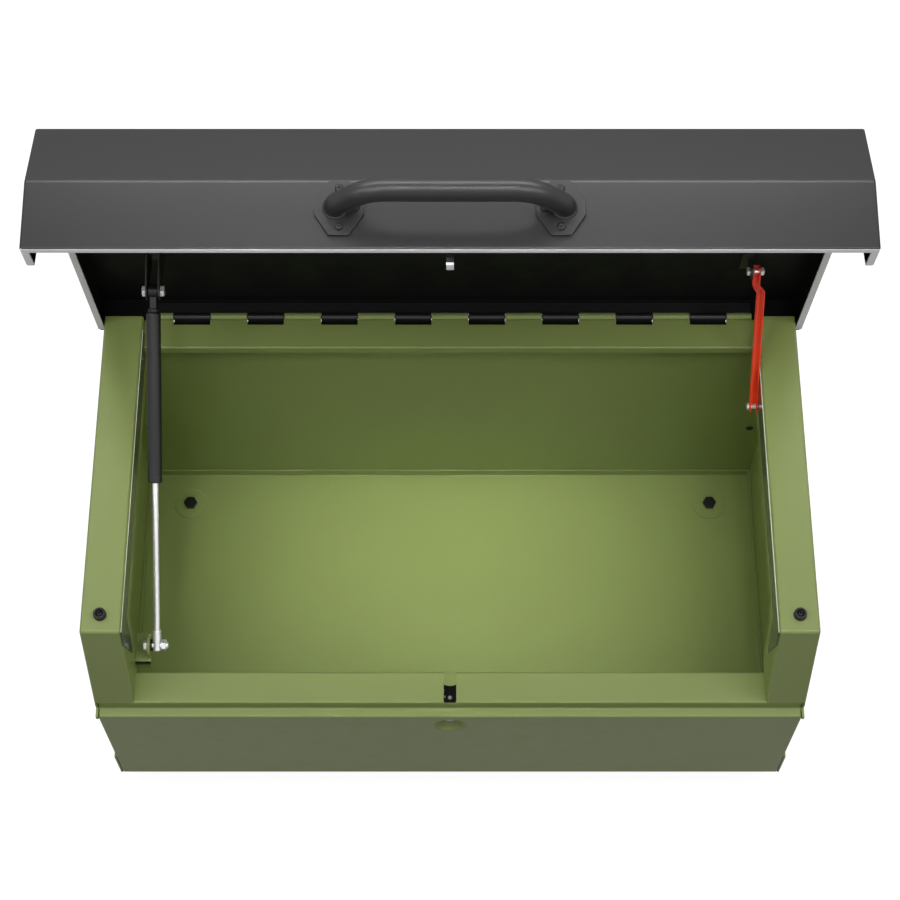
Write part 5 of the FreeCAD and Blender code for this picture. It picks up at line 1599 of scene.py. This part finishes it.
@dataclass
class SafetyStay:
    """Red slotted channel that hangs from the lid over a pin in the right arm. Drawn from its upper pin."""

    shop: Workshop
    half: float = 4.8
    deep: float = 6.0
    wall: float = 1.5
    end: float = 6.0
    jog_start: float = -16.0
    jog_end: float = -26.0
    slot_top: float = -32.3
    pin: float = 3.0
    nut_across: float = 10.0

    def build(self) -> None:
        """Make the channel and the fixings at both ends."""
        self.channel()
        self.slide_pin()
        self.pivot()

    def section(self, x: float, z: float) -> list[Point]:
        """The channel's middle line at one height: flange, web, flange.

        Args:
            x: Middle of the channel at this height.
            z: The height.

        Returns:
            Its four corners.
        """
        reach, rear = self.half - self.wall / 2, self.deep - self.wall / 2
        line = ((-reach, -self.deep), (-reach, rear), (reach, rear), (reach, -self.deep))
        return [(x + across, y, z) for across, y in line]

    def channel(self) -> None:
        """Jogged channel with a long slot through both flanges."""
        stations = [(-BOX.stay_jog, self.end), (-BOX.stay_jog, self.jog_start), (0, self.jog_end),
                    (0, -BOX.stay_span - self.end)]
        faces = [(4 * row + k, 4 * row + k + 1, 4 * row + k + 5, 4 * row + k + 4)
                 for row in range(3) for k in range(3)]
        mesh = skin([p for x, z in stations for p in self.section(x, z)], faces, (0, -8, -90))
        reach = self.pin + 0.3
        slot = arc((0, self.slot_top), reach, range(0, 181, 15))
        slot += arc((0, -BOX.stay_span), reach, range(180, 361, 15))
        drills = [prism(slot, Axis.X, -20, 20), rod(3.05, Axis.X, (0, 0, 0), -30, 20, 32)]
        self.shop.make("safety-stay", _centred_sheet(mesh, self.wall), Stock.STAY_RED, "safety_stay",
                       sheet=self.wall, edge=0.45, edge_steps=3, drills=drills)

    def slide_pin(self) -> None:
        """Pin with a domed head through the right arm's lip, and its nut."""
        y, z = BOX.on_circle(BOX.stay_body_angle)
        inner, outer = BOX.stay_x - self.half - 0.5, BOX.arm_inner + 3
        pin = turned([(0, inner - 3), (3.6, inner - 3), (4.7, inner - 2.2), (5.0, inner - 1.2), (5.0, inner),
                      (3.0, inner), (3.0, outer + 4.4), (2.4, outer + 5), (0, outer + 5)], Axis.X, (0, y, z))
        self.shop.make("stay-slide-pin", pin, Stock.BOX_ZINC, "stay_slide_pin", edge=0)
        nut = hexagon(self.nut_across, Axis.X, (0, y, z), outer, outer + 4, 0.6)
        self.shop.make("stay-slide-nut", nut, Stock.BOX_ZINC, "stay_slide_nut", edge=0.2)

    def pivot(self) -> None:
        """Folded bracket under the lid with its bolt and nut."""
        y, z = BOX.on_circle(BOX.stay_lid_angle)
        x, under, spot = BOX.stay_x - BOX.stay_jog, BOX.under_lid, (0, y, z)
        near, far = x - self.half - 0.5, x + self.half + 0.5
        ear = [(y + 10, under - 1), (y - 10, under - 1), (y - 10, z), *arc((y, z), 10, range(195, 360, 15)),
               (y + 10, z)]
        hole = rod(3.15, Axis.X, spot, 300, 420, 32)
        self.shop.make("stay-ear", prism(ear, Axis.X, near - 3, near), Stock.LID_BLACK, "stay_upper_bracket",
                       edge=0.5, drills=[hole])
        base = block((near - 14, y - 20, under - 3), (near, y + 21, under))
        self.shop.make("stay-base", base, Stock.LID_BLACK, edge=0.8, edge_steps=3)
        bolt = [hexagon(self.nut_across, Axis.X, spot, near - 7, near - 3, -0.6),
                turned([(3, near - 3), (3, far + 4.4), (2.4, far + 5), (0, far + 5)], Axis.X, spot, steps=32)]
        self.shop.make("stay-pivot-bolt", together(*bolt), Stock.LID_ZINC, "stay_pivot_bolt", edge=0.2)
        nut = hexagon(self.nut_across, Axis.X, spot, far, far + 4, 0.6)
        self.shop.make("stay-pivot-nut", nut, Stock.LID_ZINC, "stay_pivot_nut", edge=0.2)


def _centred_sheet(mesh: Mesh, wall: float) -> Mesh:
    """Move a sheet's faces out by half its wall, so that the wall ends up centred on the drawn line.

    Args:
        mesh: The open sheet.
        wall: Its thickness.

    Returns:
        The same mesh.
    """
    moves = {v: sum((f.normal for f in v.link_faces), Vector()) for v in mesh.verts}
    for vertex, move in moves.items():
        vertex.co += Vector((math.copysign(wall / 2, move.x) if abs(move.x) > 0.1 else 0,
                             math.copysign(wall / 2, move.y) if abs(move.y) > 0.1 else 0, 0))
    return mesh


# ---------------------------------------------------------------- studio


@dataclass
class Studio:
    """Pale floor, soft lamps and the camera."""

    lens: float = 84.69
    tilt: float = 25.894
    camera_y: float = -870.46
    camera_z: float = 2875.9
    sky_light: float = 0.25
    floor_glow: float = 0.93
    floor_gloss: float = 0.27

    def seen(self, tree: bpy.types.NodeTree, gloss: float) -> Socket:
        """How much of the background a ray sees.

        Args:
            tree: Node tree that the nodes go into.
            gloss: Share that shows in gloss.

        Returns:
            1 for a ray from the eye or through glass, gloss for one from gloss, and 0 for the others.
        """
        path = tree.nodes.new("ShaderNodeLightPath")
        total = path.outputs["Is Camera Ray"]
        for ray, share in (("Is Transmission Ray", 1.0), ("Is Glossy Ray", gloss)):
            add = tree.nodes.new("ShaderNodeMath")
            add.operation = "MULTIPLY_ADD"
            add.use_clamp = True
            tree.links.new(path.outputs[ray], add.inputs[0])
            add.inputs[1].default_value = share
            tree.links.new(total, add.inputs[2])
            total = add.outputs[0]
        return total

    def floor(self) -> None:
        """A wide pale floor that shows as white and keeps the box's shadow."""
        mesh = bmesh.new()
        bmesh.ops.create_grid(mesh, x_segments=8, y_segments=8, size=9)
        data = bpy.data.meshes.new("studio-floor")
        mesh.to_mesh(data)
        mesh.free()
        ground = in_scene("studio-floor", data)
        ground.location.z = -0.0002
        sheet = NodeSheet("studio floor")
        for name, value in (("Base Color", (0.3, 0.3, 0.3, 1)), ("Roughness", 0.9),
                            ("Specular IOR Level", 0.0)):
            sheet.shader.inputs[name].default_value = value
        glow = sheet.node("Emission", Color=(1, 1, 1, 1))
        level = sheet.node("Math")
        level.operation = "MULTIPLY"
        level.inputs[1].default_value = self.floor_glow
        sheet.join(self.seen(sheet.tree, self.floor_gloss), level.inputs[0])
        sheet.join(level.outputs[0], glow.inputs["Strength"])
        both = sheet.node("AddShader")
        sheet.join(sheet.shader.outputs[0], both.inputs[0])
        sheet.join(glow.outputs[0], both.inputs[1])
        sheet.join(both.outputs[0], sheet.output.inputs[0])
        data.materials.append(sheet.material)

    def sky(self) -> None:
        """An even sky: white to the eye and in gloss, and soft as a light."""
        world = bpy.data.worlds.new("studio sky")
        world.use_nodes = True
        bpy.context.scene.world = world
        tree = world.node_tree
        tree.nodes.clear()
        output = tree.nodes.new("ShaderNodeOutputWorld")
        back = tree.nodes.new("ShaderNodeBackground")
        back.inputs["Color"].default_value = (1, 1, 1, 1)
        strength = tree.nodes.new("ShaderNodeMix")
        strength.data_type = "FLOAT"
        strength.inputs[2].default_value = self.sky_light
        strength.inputs[3].default_value = 1.0
        tree.links.new(self.seen(tree, 1.0), strength.inputs[0])
        tree.links.new(strength.outputs[0], back.inputs["Strength"])
        tree.links.new(back.outputs[0], output.inputs[0])

    def lamp(self, name: str, spot: Point, size: Flat, power: float, aim: Point = (0, 0, 0.2),
             spread: float = 180.0) -> None:
        """One soft lamp.

        Args:
            name: Name of the lamp.
            spot: Where it hangs, in metres.
            size: Its width and height, in metres.
            power: Watts.
            aim: What it points at, in metres.
            spread: How wide its light fans out, in degrees.
        """
        data = bpy.data.lights.new(name, "AREA")
        data.shape = "RECTANGLE"
        data.size, data.size_y = size
        data.energy = power
        data.spread = math.radians(spread)
        lamp = in_scene(name, data)
        lamp.location = spot
        lamp.rotation_mode = "QUATERNION"
        lamp.rotation_quaternion = (Vector(aim) - Vector(spot)).to_track_quat("-Z", "Y")
        lamp.visible_camera = False

    def lamps(self) -> None:
        """Soft lamps over the wings and the middle, a strip above the raised lid and a pool in the well."""
        for hand, x in (("left", -1), ("right", 1)):
            self.lamp(hand + " wing", (0.9 * x, -0.1, 1.6), (0.3, 0.6), 2.6)
            self.lamp(hand + " key", (0.5 * x, -0.4, 1.9), (0.4, 0.3), 4.2)
        self.lamp("lid strip", (0, 0.5, 1.45), (1.2, 0.1), 6.8)
        self.lamp("well pool", (0, -0.3, 2.4), (0.6, 0.25), 0.47, (0, 0.08, 0), 16)

    def camera(self) -> None:
        """The camera, high in front of the box."""
        data = bpy.data.cameras.new("camera")
        data.lens = self.lens
        data.sensor_width = 36.0
        data.clip_end = 50
        eye = in_scene("camera", data)
        eye.location = (0, (self.camera_y - BOX.origin_y) * MM, self.camera_z * MM)
        eye.rotation_euler = (math.radians(self.tilt), 0, 0)
        bpy.context.scene.camera = eye

    def build(self) -> None:
        """Set up the whole studio."""
        self.floor()
        self.sky()
        self.lamps()
        self.camera()
        bpy.context.scene.view_settings.view_transform = "Standard"


def corners(bounds: tuple[Vector, Vector]) -> list[list[float]]:
    """Two corners as plain lists."""
    return [list(corner) for corner in bounds]


def main() -> None:
    """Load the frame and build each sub-assembly in order."""
    logging.basicConfig(level=logging.INFO, format="%(message)s")
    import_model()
    shop = Workshop(Paintshop())
    for maker in (BodyShell, BodyFittings, Hinge, Lid, Handle, Lock, GasStrut, SafetyStay):
        maker(shop).build()
        LOG.info("%s built", maker.__name__)
    Studio().build()
    bpy.context.view_layer.update()


if __name__ == "__main__":
    main()
